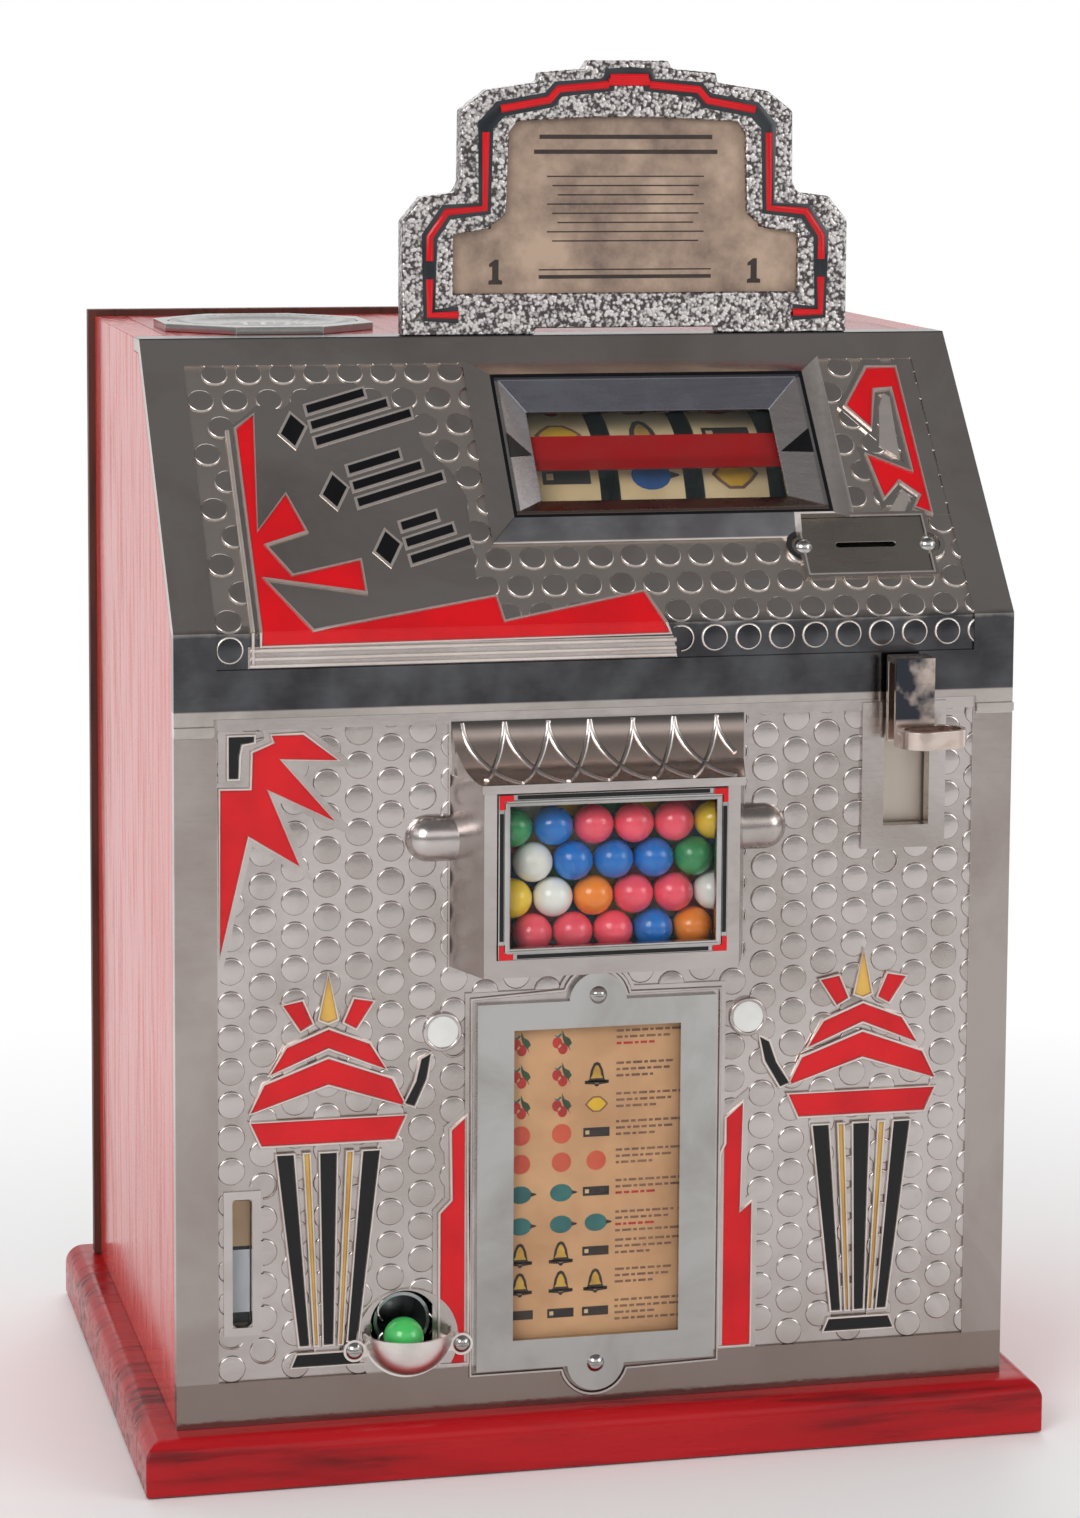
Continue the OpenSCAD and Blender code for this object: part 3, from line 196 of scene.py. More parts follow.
def tone_of(tree, share, first, second):
    """a colour between two by a mask, each a link or red, green and blue as seen"""
    first, second = (v if isinstance(v, bpy.types.NodeSocket) else stain(*v) for v in (first, second))
    return part_of(tree, "Mix", {"Factor": share, 6: first, 7: second}, data_type="RGBA").outputs[2]


def bump_of(tree, height, strength, distance, invert=False):
    """the normal of a fine relief"""
    return part_of(tree, "Bump", {"Strength": strength, "Distance": distance, "Height": height},
                   invert=invert).outputs[0]


def new_effect(name, **inputs):
    """an empty node group for colour, roughness and normal: (group, its inputs, its output node)"""
    group = bpy.data.node_groups.new(name, "ShaderNodeTree")
    kinds = {type(None): "Vector", tuple: "Color", float: "Float"}
    for label, value in inputs.items():
        socket = group.interface.new_socket(label.replace("_", " "), in_out="INPUT",
                                            socket_type="NodeSocket" + kinds[type(value)])
        if value is not None:
            socket.default_value = value
    for label, kind in (("Base Color", "Color"), ("Roughness", "Float"), ("Normal", "Vector")):
        group.interface.new_socket(label, in_out="OUTPUT", socket_type="NodeSocket" + kind)
    return group, group.nodes.new("NodeGroupInput").outputs, group.nodes.new("NodeGroupOutput")


def use_effect(tree, group, **inputs):
    """places a node group in a material and gives its outputs by name"""
    joined = {label.replace("_", " "): value for label, value in inputs.items()}
    return dict(part_of(tree, "Group", joined, node_tree=group).outputs.items())


stained_wood, given, wood_out = new_effect("stained_wood", Vector=None, Red=(0.4, 0.02, 0.02, 1),
                                           Dark_Grain=(0.1, 0.01, 0.01, 1), Grain_Strength=0.5, Gloss=0.3)
tree = stained_wood
lines = mask_of(tree, noise_of(tree, given["Vector"], 38.0, 5.0, Distortion=1.2), 0.42, 0.62)
specks = mask_of(tree, noise_of(tree, given["Vector"], 260.0, 3.0), 0.45, 0.7)
grain = reckon(tree, "ADD", reckon(tree, "MULTIPLY", lines, specks), reckon(tree, "MULTIPLY", lines, 0.35))
amount = reckon(tree, "MULTIPLY", grain, given["Grain Strength"], use_clamp=True)
join(tree, wood_out, {"Base Color": tone_of(tree, amount, given["Red"], given["Dark Grain"]),
                      "Roughness": reckon(tree, "MULTIPLY_ADD", specks, 0.16, given["Gloss"]),
                      "Normal": bump_of(tree, amount, 0.25, 0.0006, invert=True)})


def wood_finish(name, stretch, red, dark, strength, gloss):
    """stained and varnished wood, with the grain along the axis that stretch makes small"""
    finish, tree, shader, place = new_finish(name, Specular_IOR_Level=0.3)
    turned = part_of(tree, "Mapping", {"Vector": place, "Scale": stretch}).outputs[0]
    join(tree, shader, use_effect(tree, stained_wood, Vector=turned, Red=stain(*red), Dark_Grain=stain(*dark),
                                  Grain_Strength=strength, Gloss=gloss))
    return finish


def dress(finish, *names):
    """gives CAD nodes a finish in their own material slots"""
    for name in names:
        for slot in nodes[name].material_slots:
            slot.material = finish


def take_up(name, data):
    """a new object, the only one selected"""
    drop_selection()
    piece = bpy.data.objects.new(name, data)
    bpy.context.collection.objects.link(piece)
    piece.select_set(True)
    bpy.context.view_layer.objects.active = piece
    return piece


def open_mesh():
    """edit mode with the whole mesh selected"""
    bpy.ops.object.mode_set(mode="EDIT")
    bpy.ops.mesh.select_all(action="SELECT")


def close_mesh():
    """back to object mode"""
    bpy.ops.object.mode_set(mode="OBJECT")


def copy_of(node, name):
    """a copy of a CAD solid with its loose triangles merged, left in edit mode"""
    piece = take_up(name, nodes[node].data.copy())
    open_mesh()
    bpy.ops.mesh.remove_doubles(threshold=2e-6)
    return piece


def modify(piece, kind, **settings):
    """puts a modifier on a piece and applies it"""
    new = piece.modifiers.new(kind.lower(), kind)
    for name, value in settings.items():
        setattr(new, name, value)
    bpy.ops.object.modifier_apply(modifier=new.name)


def settle(piece, name, finish, body="cabinet", sharp=40):
    """names a finished piece, gives it its finish and lets it ride on its body"""
    drop_selection()
    piece.select_set(True)
    bpy.context.view_layer.objects.active = piece
    bpy.ops.object.transform_apply()
    if sharp:
        bpy.ops.object.shade_smooth_by_angle(angle=math.radians(sharp))
    piece.name = name
    piece.data.name = name
    piece.data.materials.clear()
    piece.data.materials.append(finish)
    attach(piece, body)
    return piece


def round_edges(node, finish, width, body="cabinet", sharp=28):
    """a copy of a CAD solid with its flat faces joined and its edges rounded, standing for that solid"""
    piece = copy_of(node, node + "_rounded")
    bpy.ops.mesh.dissolve_limited(angle_limit=math.radians(0.6))
    bpy.ops.mesh.select_all(action="DESELECT")
    close_mesh()
    modify(piece, "BEVEL", width=width * mm, segments=2, limit_method="ANGLE", angle_limit=math.radians(sharp))
    settle(piece, node + "_rounded", finish, body)
    modify(piece, "WEIGHTED_NORMAL", keep_sharp=True)
    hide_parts(node)


base_red = wood_finish("base_red", (0.09, 1.0, 1.0), (172, 16, 24), (84, 6, 12), 0.95, 0.22)
round_edges("base_board", base_red, 0.8)

# Side panels and top board
# Half-inch boards with the grain upright, glued and screwed to the base, stained a lighter red than it.
side_red = wood_finish("side_red", (1.0, 1.0, 0.07), (204, 62, 56), (164, 40, 38), 0.2, 0.13)
for board in ("side_panel_left", "side_panel_right"):
    round_edges(board, side_red, 0.5)
dress(wood_finish("top_red", (1.0, 0.07, 1.0), (176, 44, 44), (110, 22, 24), 0.6, 0.2), "top_board")

# Rear door, its hinges and lock
# A thin dark stained board that stands a little over the left side and the top, on two butt hinges,
# with a brass cam lock.
door_brown = wood_finish("door_brown", (1.0, 1.0, 0.1), (92, 52, 44), (52, 28, 24), 0.7, 0.45)
round_edges("rear_door", door_brown, 0.4, body="rear_door")

worn_metal, given, metal_out = new_effect("worn_metal", Vector=None, Metal=(0.5, 0.5, 0.5, 1),
                                          Tarnish=(0.3, 0.3, 0.3, 1), Patch_Size=14.0, Wear=0.6, Gloss=0.25,
                                          Pitting=0.1)
tree = worn_metal
patches = noise_of(tree, given["Vector"], given["Patch Size"], 6.0, Roughness=0.62, Distortion=0.6)
brushed = part_of(tree, "Mapping", {"Vector": given["Vector"], "Scale": (1.0, 1.0, 9.0),
                                    "Rotation": (0.3, 0.5, 0.2)}).outputs[0]
rubs = noise_of(tree, brushed, 90.0, 4.0)
pits = noise_of(tree, given["Vector"], 420.0, 3.0)
worn = reckon(tree, "MULTIPLY", mask_of(tree, patches, 0.44, 0.68), given["Wear"], use_clamp=True)
blur = reckon(tree, "MULTIPLY_ADD", rubs, 0.1, given["Gloss"])
depth = reckon(tree, "MULTIPLY_ADD", rubs, 0.5, pits)
join(tree, metal_out, {"Base Color": tone_of(tree, worn, given["Metal"], given["Tarnish"]),
                       "Roughness": reckon(tree, "MULTIPLY_ADD", worn, 0.1, blur),
                       "Normal": bump_of(tree, depth, given["Pitting"], 0.0004)})


def begin_metal(name, metal, tarnish, patch=14.0, wear=0.6, gloss=0.2, pitting=0.1, metallic=1.0):
    """a worn metal that isn't fed to its shader yet: new_finish's four things and the looks by name"""
    finish, tree, shader, place = new_finish(name, Metallic=metallic)
    looks = use_effect(tree, worn_metal, Vector=place, Metal=stain(*metal), Tarnish=stain(*tarnish),
                       Patch_Size=patch, Wear=wear, Gloss=gloss, Pitting=pitting)
    return finish, tree, shader, place, looks


def metal_finish(name, metal, tarnish, **values):
    """cast, plated or sheet metal with tarnish in patches and fine pits"""
    finish, tree, shader, place, looks = begin_metal(name, metal, tarnish, **values)
    join(tree, shader, looks)
    return finish


plain_steel = metal_finish("plain_steel", (150, 150, 152), (104, 100, 98), gloss=0.28)
lock_brass = metal_finish("lock_brass", (196, 158, 84), (128, 96, 50), patch=40.0, gloss=0.22)
dress(plain_steel, "hinge_frame_leaves", "hinge_door_leaves", "hinge_pins")
dress(lock_brass, "lock_cylinder", "lock_plug")

# Front casting
# The lower front, cast in aluminium in one piece with the window housing, its cove and its two bosses,
# then plated and polished on the borders. Low round studs cover the sunk fields between the borders.
satin_plate = metal_finish("satin_plate", (200, 192, 189), (164, 153, 147), patch=16.0, wear=0.7, gloss=0.16,
                           pitting=0.12)
rubbed_edge = metal_finish("rubbed_edge", (226, 216, 210), (190, 178, 170), patch=30.0, gloss=0.36)
front_plate, tree, shader, place, looks = begin_metal("front_plate", (198, 190, 187), (162, 151, 145),
                                                      patch=12.0, wear=0.75, gloss=0.16, pitting=0.12)
# the borders are polished smoother than the sunk fields and are darker, most of all along the bottom
border_x, border_z = 0.1372, 0.0362
sides = reckon(tree, "ABSOLUTE", axis_of(tree, place, "X"))
sides = mask_of(tree, sides, border_x, border_x + 0.0006, end=0.45)
foot = mask_of(tree, axis_of(tree, place, "Z"), border_z, border_z - 0.0008, end=0.85)
edge = reckon(tree, "MAXIMUM", sides, foot)
join(tree, shader, {**looks, "Base Color": tone_of(tree, edge, looks["Base Color"], (132, 116, 108)),
                    "Roughness": reckon(tree, "MULTIPLY_ADD", edge, -0.1, looks["Roughness"])})
round_edges("front_casting", front_plate, 0.5)


def pick_faces(piece, wanted):
    """in edit mode, selects the faces whose centre (in mm) and normal pass the test"""
    mesh = bmesh.from_edit_mesh(piece.data)
    mesh.select_mode = {"FACE"}
    for face in mesh.faces:
        face.select_set(bool(wanted(face.calc_center_median() / mm, face.normal)))
    mesh.select_flush_mode()
    bmesh.update_edit_mesh(piece.data)


def cut_away(spot, outward):
    """in edit mode, cuts off all that lies beyond a plane through a spot in mm"""
    bpy.ops.mesh.select_all(action="SELECT")
    bpy.ops.mesh.bisect(plane_co=[v * mm for v in spot], plane_no=outward, clear_outer=True)


stud_radius, stud_high, stud_inset, stud_sink = 5.0, 0.8, 4.9, 1.25
stud_across, stud_up = 11.35, 11.9
field_x, field_low, field_top = 137.7, 35.3, 268.2


def stud_sheet(x0, y0, x1, y1, pair, across, up):
    """low round studs, staggered in pairs, flat at the origin and cut to a rectangle, left in edit mode"""
    drop_selection()
    middle = (x0 + stud_inset, y0 + stud_inset, stud_high / 2)
    bpy.ops.mesh.primitive_cylinder_add(vertices=20, radius=stud_radius * mm, depth=stud_high * mm,
                                        location=[v * mm for v in middle])
    sheet = bpy.context.object
    bpy.ops.object.transform_apply()
    open_mesh()
    pick_faces(sheet, lambda at, out: out.z > 0.9)
    bpy.ops.mesh.bevel(offset=0.7 * mm, segments=3, affect="EDGES", profile=0.5)
    close_mesh()
    for count, shift in ((2, pair + (0,)), (int((x1 - x0) / across) + 2, (across, 0, 0)),
                         (int((y1 - y0) / up) + 2, (0, up, 0))):
        modify(sheet, "ARRAY", count=count, use_relative_offset=False, use_constant_offset=True,
               constant_offset_displace=[v * mm for v in shift])
    open_mesh()
    for spot, outward in (((x0, 0, 0), (-1, 0, 0)), ((x1, 0, 0), (1, 0, 0)), ((0, y0, 0), (0, -1, 0)),
                          ((0, y1, 0), (0, 1, 0))):
        cut_away(spot, outward)
    return sheet


def clear_studs(sheet, covered):
    """takes out what lies under the raised parts, given as (x0, y0, x1, y1), and leaves edit mode"""
    pick_faces(sheet, lambda at, out: any(a < at.x < c and b < at.y < d for a, b, c, d in covered))
    bpy.ops.mesh.delete(type="FACE")
    close_mesh()


def stand_on_front(piece, out):
    """turns a flat piece to stand on the front, out mm behind the casting's face"""
    piece.rotation_euler = (math.radians(90), 0, 0)
    piece.location = (0, out * mm, 0)


studs = stud_sheet(-field_x, field_low, field_x, field_top, (stud_across, stud_up / 2),
                   2 * stud_across, stud_up)
# the studs beside the coin view and the lever slot are cut off short of the opening
for left, right, bottom, top, cut, side in ((-129, -117, 50, 104, -123, -1), (96, 110, 217, 272, 103, 1)):
    pick_faces(studs, lambda at, out: left < at.x < right and bottom < at.y < top)
    bpy.ops.mesh.bisect(plane_co=(cut * mm, 0, 0), plane_no=(side, 0, 0), clear_outer=True)
# there are none under the gum window, award card, lever slot, cup, coin view and the two discs
clear_studs(studs, [(-54, 182.5, 51, 271), (-44.5, 34, 41.5, 166.5), (105, 219, 126, 270), (-79, 33, -62, 65),
                    (-136, 51, -122, 105), (-63, 152, -52, 164), (49, 152, 60, 164)])
stand_on_front(studs, stud_sink)
settle(studs, "front_studs", satin_plate, sharp=60)

# Enamelled flashes of the front
# Flashes, zigzag bars and torches stand up from the sunk field. Their edges are bare polished metal and
# their faces are filled with red, black, gold and white enamel, as generic ornament of its time.


def cut_sheet(name, outlines, thick, grow=0.0):
    """a flat sheet cut to closed outlines in mm, from z 0 up to thick"""
    curve = bpy.data.curves.new(name, "CURVE")
    curve.dimensions = "2D"
    curve.fill_mode = "BOTH"
    curve.extrude = thick / 2 * mm
    curve.offset = grow * mm
    for outline in outlines:
        line = curve.splines.new("POLY")
        line.points.add(len(outline) - 1)
        for point, (x, y) in zip(line.points, outline):
            point.co = (x * mm, y * mm, 0, 1)
        line.use_cyclic_u = True
    take_up(name, curve)
    bpy.ops.object.convert(target="MESH")
    open_mesh()
    bpy.ops.mesh.remove_doubles(threshold=1e-6)
    bpy.ops.transform.translate(value=(0, 0, thick / 2 * mm))
    bpy.ops.mesh.normals_make_consistent(inside=False)
    close_mesh()
    return bpy.context.object


def lay_flat(name, outlines, thick, finish, out, stand=stand_on_front, grow=0.0):
    """a sheet cut to outlines, stood on the front or laid on the slope, and settled"""
    sheet = cut_sheet(name, outlines, thick, grow)
    stand(sheet, out)
    return settle(sheet, name, finish)


def lay_bead(name, lines, radius, finish, out=None, stand=stand_on_front, closed=True, height=0.0, flatten=1.0):
    """a half-sunk round bead along lines given in mm, placed as a sheet is, and settled"""
    curve = bpy.data.curves.new(name, "CURVE")
    curve.dimensions = "3D"
    curve.fill_mode = "FULL"
    curve.bevel_depth = radius * mm
    curve.bevel_resolution = 1
    curve.use_fill_caps = not closed
    for outline in lines:
        line = curve.splines.new("POLY")
        line.points.add(len(outline) - 1)
        for point, (x, y, *z) in zip(line.points, outline):
            point.co = (x * mm, y * mm, (z[0] if z else height) * mm, 1)
        line.use_cyclic_u = closed
    take_up(name, curve)
    bpy.ops.object.convert(target="MESH")
    rod = bpy.context.object
    rod.scale = (1, 1, flatten)
    if out is not None:
        stand(rod, out)
    settle(rod, name, finish, sharp=60)


def oblong(x0, y0, x1, y1):
    """the outline of a rectangle"""
    return [(x0, y0), (x1, y0), (x1, y1), (x0, y1)]


def enamel_finish(name, colour, dark, gloss=0.16):
    """hard glossy enamel that has sunk a little as it cured"""
    finish, tree, shader, place = new_finish(name, Specular_IOR_Level=0.35)
    cloud = mask_of(tree, noise_of(tree, place, 45.0, 4.0), 0.4, 0.75)
    join(tree, shader, {"Base Color": tone_of(tree, cloud, colour, dark),
                        "Roughness": reckon(tree, "MULTIPLY_ADD", cloud, 0.12, gloss),
                        "Normal": bump_of(tree, noise_of(tree, place, 160.0, 2.0), 0.12, 0.0006)})
    return finish


red_enamel = enamel_finish("red_enamel", (206, 14, 24), (182, 8, 20))
black_enamel = enamel_finish("black_enamel", (8, 8, 11), (16, 16, 20))
gold_enamel = enamel_finish("gold_enamel", (214, 172, 86), (180, 136, 60))
white_enamel = enamel_finish("white_enamel", (226, 226, 223), (208, 208, 204))

sunburst = [(-136.8, 188.1), (-136.8, 247.6), (-125.8, 247.4), (-125.4, 260.4), (-117.8, 263.5),
            (-118.8, 266.2), (-107.2, 266.4), (-94.6, 256.4), (-115.2, 257.4), (-95.7, 234.7), (-119.7, 246.7),
            (-108.3, 219.1), (-126.6, 230.5)]
bracket = [(-133.8, 250.9), (-129.8, 250.9), (-129.4, 259.2), (-128.6, 262.8), (-124.3, 263.6),
           (-124.2, 266.2), (-133.8, 266.2)]
bar_right = [(44.4, 36.6), (56.6, 36.6), (56.6, 90), (52.2, 86.5), (53, 127), (46.4, 121.5), (46.4, 112),
             (44.4, 108)]
bar_left = [(-58.6, 37), (-48, 37), (-48, 68), (-48.6, 127.5), (-54.6, 122.5), (-54.2, 97), (-58.6, 92.5)]
shaft_foot, shaft_top = 47, 117


def torch(middle, side):
    """the outlines of one torch by enamel colour, about its own middle line"""
    def at(pairs):
        return [(middle + side * x, z) for x, z in pairs]

    def flute(low, high, foot, head):
        return at([(low - foot, shaft_foot), (low + foot, shaft_foot), (high + head, shaft_top),
                   (high - head, shaft_top)])

    black = [flute(low, high, 2.0, 3.3) for low, high in ((-8.6, -15.4), (0, 0), (8.6, 15.4))]
    black.append(at([(-13.5, 39.5), (13.5, 39.5), (11.5, 44.5), (-11.5, 44.5)]))
    gold = [flute(low, high, 0.8, 1.2) for low, high in ((-4.3, -7.7), (4.3, 7.7))]
    gold.append(at([(-3.6, 164.5), (0, 181), (3.6, 164.5), (0, 163)]))
    red = [at([(-24, 120), (24, 120), (28, 129), (-28, 129)]),
           at([(-28, 132), (0, 141), (28, 132), (23, 142.5), (0, 151), (-23, 142.5)]),
           at([(-21, 145.5), (0, 154), (21, 145.5), (15, 155.5), (0, 161.5), (-15, 155.5)])]
    red += [at([(turn * 10, 160.5), (turn * 16.5, 170.5), (turn * 9, 172), (turn * 5.2, 163.2)])
            for turn in (-1, 1)]
    return black, gold, red


enamel_thick, enamel_sink, ground_thick, ground_sink, rim_high = 1.15, 1.3, 0.95, 1.35, 0.95
left_black, left_gold, left_red = torch(-98.5, 1)
right_black, right_gold, right_red = torch(97.5, -1)
arms = [[(-71.5, 133), (-67.5, 141), (-65.6, 149), (-61.6, 151), (-63, 141.5), (-67.5, 131.5)],
        [(70.5, 133), (65.5, 141), (62.6, 149), (58.6, 151), (60.5, 141.5), (66.5, 131.5)]]
front_fills = [("front_red", left_red + right_red + [sunburst, bar_right, bar_left], red_enamel),
               ("front_black", left_black + right_black + [bracket] + arms, black_enamel),
               ("front_gold", left_gold + right_gold, gold_enamel)]
for name, outlines, finish in front_fills:
    lay_flat(name, outlines, enamel_thick, finish, enamel_sink)
lay_flat("cup_side_red", [oblong(-57.9, 37, -49.3, 70)], 1.2, red_enamel, enamel_sink)
lay_bead("front_rims", [outline for name, outlines, finish in front_fills for outline in outlines], 0.75,
         rubbed_edge, 1.0, height=rim_high)
corner_ground = [(-137, 248.6), (-126.4, 248.6), (-126.4, 261.2), (-122.4, 267.4), (-137, 267.4)]
for name, outline, thick, grow in (("sunburst_ground", sunburst, 1.0, 2.2),
                                   ("bracket_ground", corner_ground, ground_thick, 0.0),
                                   ("bar_right_ground", bar_right, 1.0, 2.2),
                                   ("bar_left_ground", bar_left, 1.0, 2.2)):
    lay_flat(name, [outline], thick, satin_plate, ground_sink, grow=grow)

disc_z, disc_radius, disc_thick, quarter_turn = 158.2, 6.2, 1.2, (math.radians(90), 0, 0)
for name, x in (("disc_left", -57.6), ("disc_right", 54.4)):
    drop_selection()
    bpy.ops.mesh.primitive_cylinder_add(vertices=40, radius=disc_radius * mm, depth=disc_thick * mm,
                                        location=(x * mm, 0.3 * mm, disc_z * mm), rotation=quarter_turn)
    disc = bpy.context.object
    bpy.ops.object.transform_apply()
    open_mesh()
    pick_faces(disc, lambda at, out: out.y < -0.9)
    bpy.ops.mesh.inset(thickness=1.2 * mm)
    bpy.ops.transform.translate(value=(0, -0.35 * mm, 0))
    close_mesh()
    settle(disc, name, white_enamel)
    drop_selection()
    bpy.ops.mesh.primitive_torus_add(major_segments=40, minor_segments=8, major_radius=6.3 * mm,
                                     minor_radius=0.8 * mm, location=(x * mm, -0.25 * mm, disc_z * mm),
                                     rotation=quarter_turn)
    settle(bpy.context.object, name + "_rim", satin_plate, sharp=60)

# Head casting
# The sloped head, cast and plated darker, with the same studs on its field, a flat band under the slope painted
# dark as a painted reflection, and a frame round the reel window. Its flashes are filled as on the front.
slope, slope_foot = math.radians(48.478), 302
slope_out, slope_up = (0, -0.7487, 0.6629), (0, 0.6629, 0.7487)


def on_slope(tree, place):
    """how far a place lies out of the slope and up along it, in metres"""
    return [part_of(tree, "VectorMath", {0: place, 1: way}, operation="DOT_PRODUCT").outputs["Value"]
            for way in (slope_out, slope_up)]


def lie_on_slope(piece, out):
    """turns a flat piece to lie on the slope, out mm above its face"""
    piece.rotation_euler = (slope, 0, 0)
    piece.location = (0, -math.sin(slope) * out * mm, (slope_foot + math.cos(slope) * out) * mm)


head_plate, tree, shader, place, looks = begin_metal("head_plate", (196, 188, 183), (156, 145, 138), patch=13.0,
                                                     wear=0.7, gloss=0.12, pitting=0.08)
height = axis_of(tree, place, "Z")
cloud = noise_of(tree, place, 60.0, 5.0)
lip_z, band_z, top_z, field_out, frame_out = 0.2744, 0.3035, 0.3974, 0.1994, 0.2003
# the band is painted blue-black as a painted dark reflection, but not the lip under it, over the joint with the
# front, which stays light
band = mask_of(tree, reckon(tree, "MULTIPLY_ADD", cloud, 0.006, height), band_z, band_z + 0.003, 0.9, 0.0)
band = reckon(tree, "MULTIPLY", band, mask_of(tree, height, lip_z, lip_z + 0.0006))
# so does the sunk field between the studs, which is duller too
out, along = on_slope(tree, place)
sunk = reckon(tree, "MULTIPLY", mask_of(tree, out, field_out, field_out - 0.0003),
              mask_of(tree, height, band_z, band_z + 0.001))
# the window frame's lower bevel is painted blue-black too, a painted dark reflection, up to the coin plate
plate_x, bevel_lean, bevel_low = 0.0774, -2.43, -0.2249
tilt = reckon(tree, "MULTIPLY_ADD", out, bevel_lean, along)
bevel_reflection = reckon(tree, "MULTIPLY", mask_of(tree, tilt, bevel_low, bevel_low - 0.0003),
                  mask_of(tree, out, frame_out, frame_out + 0.0002))
beside = mask_of(tree, axis_of(tree, place, "X"), plate_x, plate_x - 0.0004, end=0.85)
bevel_reflection = reckon(tree, "MULTIPLY", bevel_reflection, beside)
# the flat top is painted dark as well, a painted dark reflection
dark = reckon(tree, "MAXIMUM", reckon(tree, "MAXIMUM", band, bevel_reflection),
              mask_of(tree, height, top_z, top_z + 0.0004, end=0.75))
# all three are painted in a mottled blue-black, the colour of the painted dark reflection
reflected_blue_black = tone_of(tree, mask_of(tree, cloud, 0.34, 0.66), (24, 31, 42), (74, 78, 84))
pale = tone_of(tree, sunk, looks["Base Color"], (200, 190, 183))
join(tree, shader, {**looks, "Base Color": tone_of(tree, dark, pale, reflected_blue_black),
                    "Roughness": reckon(tree, "MULTIPLY_ADD", sunk, 0.13, looks["Roughness"])})
round_edges("head_casting", head_plate, 0.5)

head_rows = ((6.2, stud_up), 12.4, 2 * stud_up)
slope_studs = stud_sheet(-field_x, 0.5, field_x, 115.9, *head_rows)
clear_studs(slope_studs, [(-34.4, 35.6, 100.4, 116), (77.5, 17.5, 127.5, 44)])
lie_on_slope(slope_studs, -stud_sink)
settle(slope_studs, "slope_studs", head_plate, sharp=60)
band_studs = stud_sheet(-field_x, 291, field_x, 301.3, *head_rows)
clear_studs(band_studs, [(-128, 289, 29, 300)])
stand_on_front(band_studs, stud_sink)
settle(band_studs, "band_studs", head_plate, sharp=60)
# on the band the studs' flat faces keep the head plate's painted dark reflection, and their bevels take the
# rubbed_edge metal
band_studs.data.materials.append(rubbed_edge)
for face in band_studs.data.polygons:
    face.material_index = int(face.normal.y > -0.97)

flash_left = [(-122.1, 0), (-121.9, 87.4), (-114.5, 93.6), (-118.6, 42.5), (-106.8, 58.6), (-101.1, 42.0),
              (-116.4, 36.7), (-108.2, 23.6), (-83.3, 29.6), (-83.0, 15.6), (-118.6, 22.6), (-103.6, 0.3),
              (-36.9, 12.9), (-35.5, 2.1), (17.0, 13.5), (22.6, 0)]
flash_foot = [(22.6, 0.3), (24.4, -4.0), (-122.1, -4.9), (-122.1, 0.3)]
flash_right = [(118.6, 111.6), (107.1, 93.7), (115.2, 83.0), (119.6, 101.0), (126.6, 101.6), (127.1, 63.0),
               (110.8, 71.5), (113.8, 51.4), (121.0, 59.1), (127.6, 52.4), (124.5, 47.2), (130.7, 44.2),
               (130.4, 111.6)]
# a streamlined device stands at the slope's left: three slanted rows of a lozenge and three bars
lean, climb = 0.12, 0.34
device_bars = []
for x0, s0, long in ((-104, 78, 46), (-92, 51, 42), (-76, 26, 32)):
    device_bars.append([(x0 - 1.5, s0 + 7), (x0 + 3, s0 + 15.5), (x0 + 7.5, s0 + 10), (x0 + 3, s0 + 1.5)])
    for k, share in enumerate((1.0, 0.8, 0.6)):
        xa = x0 + 11 - lean * 7 * k
        xb = xa + (long - 10) * share
        sa = s0 + 7.2 * k + 1.5
        sb = sa + (xb - xa) * climb
        device_bars.append([(xa, sa), (xb, sb), (xb - lean * 3, sb + 3.4), (xa - lean * 3, sa + 3.4)])
lay_flat("slope_red", [flash_left, flash_right], enamel_thick, red_enamel, -ground_sink, lie_on_slope)
lay_flat("slope_black", device_bars, 1.35, black_enamel, -ground_sink, lie_on_slope)


def on_foot(outline):
    """an outline of the slope carried on over its foot, down the front"""
    return [(x, slope_foot + s) for x, s in outline]


# the flash runs on over the foot of the slope, and a light strip with three beads closes it below
lay_flat("foot_red", [on_foot(flash_foot)], enamel_thick, red_enamel, ground_sink)
for name, line, closed in (("slope_rims", flash_left, False), ("slope_rims_right", flash_right, True),
                           ("name_edge", [(-124.8, 0), (-124.8, 86.5)], False)):
    lay_bead(name, [line], 0.8, rubbed_edge, -1.0, lie_on_slope, closed, rim_high)
foot_lines = [on_foot([(22.6, 0), (24.4, -4.0), (-122.1, -4.9), (-122.1, 0)]),
              on_foot([(-124.8, 0), (-124.8, -11)])]
lay_bead("foot_rims", foot_lines, 0.8, rubbed_edge, 1.0, closed=False, height=rim_high)
lay_flat("foot_strip", [[(-126.5, 289.4), (27, 289.4), (25.5, 297), (-126.5, 297)]], 0.8, satin_plate, 1.3)
device_ground = [(-124.8, 0.5), (-124.8, 88), (-119, 92), (-112.8, 98.1), (-104.1, 95.9), (-91.5, 107),
               (-75.8, 107.5), (-70, 95), (-56, 97), (-54.3, 78), (-46, 68), (-41.6, 56.1), (-43, 20.5),
               (-38, 13), (-101, 0.8)]
tongue = [(123.1, 99.4), (125.2, 97.5), (123.5, 69.4), (116.8, 75.3), (120.2, 92.9)]
wedge = [(121.4, 55.4), (124.0, 51.8), (120.2, 45.4), (114.4, 45.6)]
slope_reliefs = [("slope_relief", device_ground, ground_thick, head_plate, 0.0),
                 ("flash_ground", flash_right, 1.0, head_plate, 2.2),
                 ("edge_ground", oblong(130.6, 44, 136.9, 115.4), ground_thick, head_plate, 0.0),
                 ("flash_tongue", tongue, 1.5, rubbed_edge, 0.0), ("flash_wedge", wedge, 1.5, rubbed_edge, 0.0)]
slope_reliefs += [("name_block_%d" % k, outline, 1.22, rubbed_edge, 1.0)
                  for k, outline in enumerate(device_bars)]
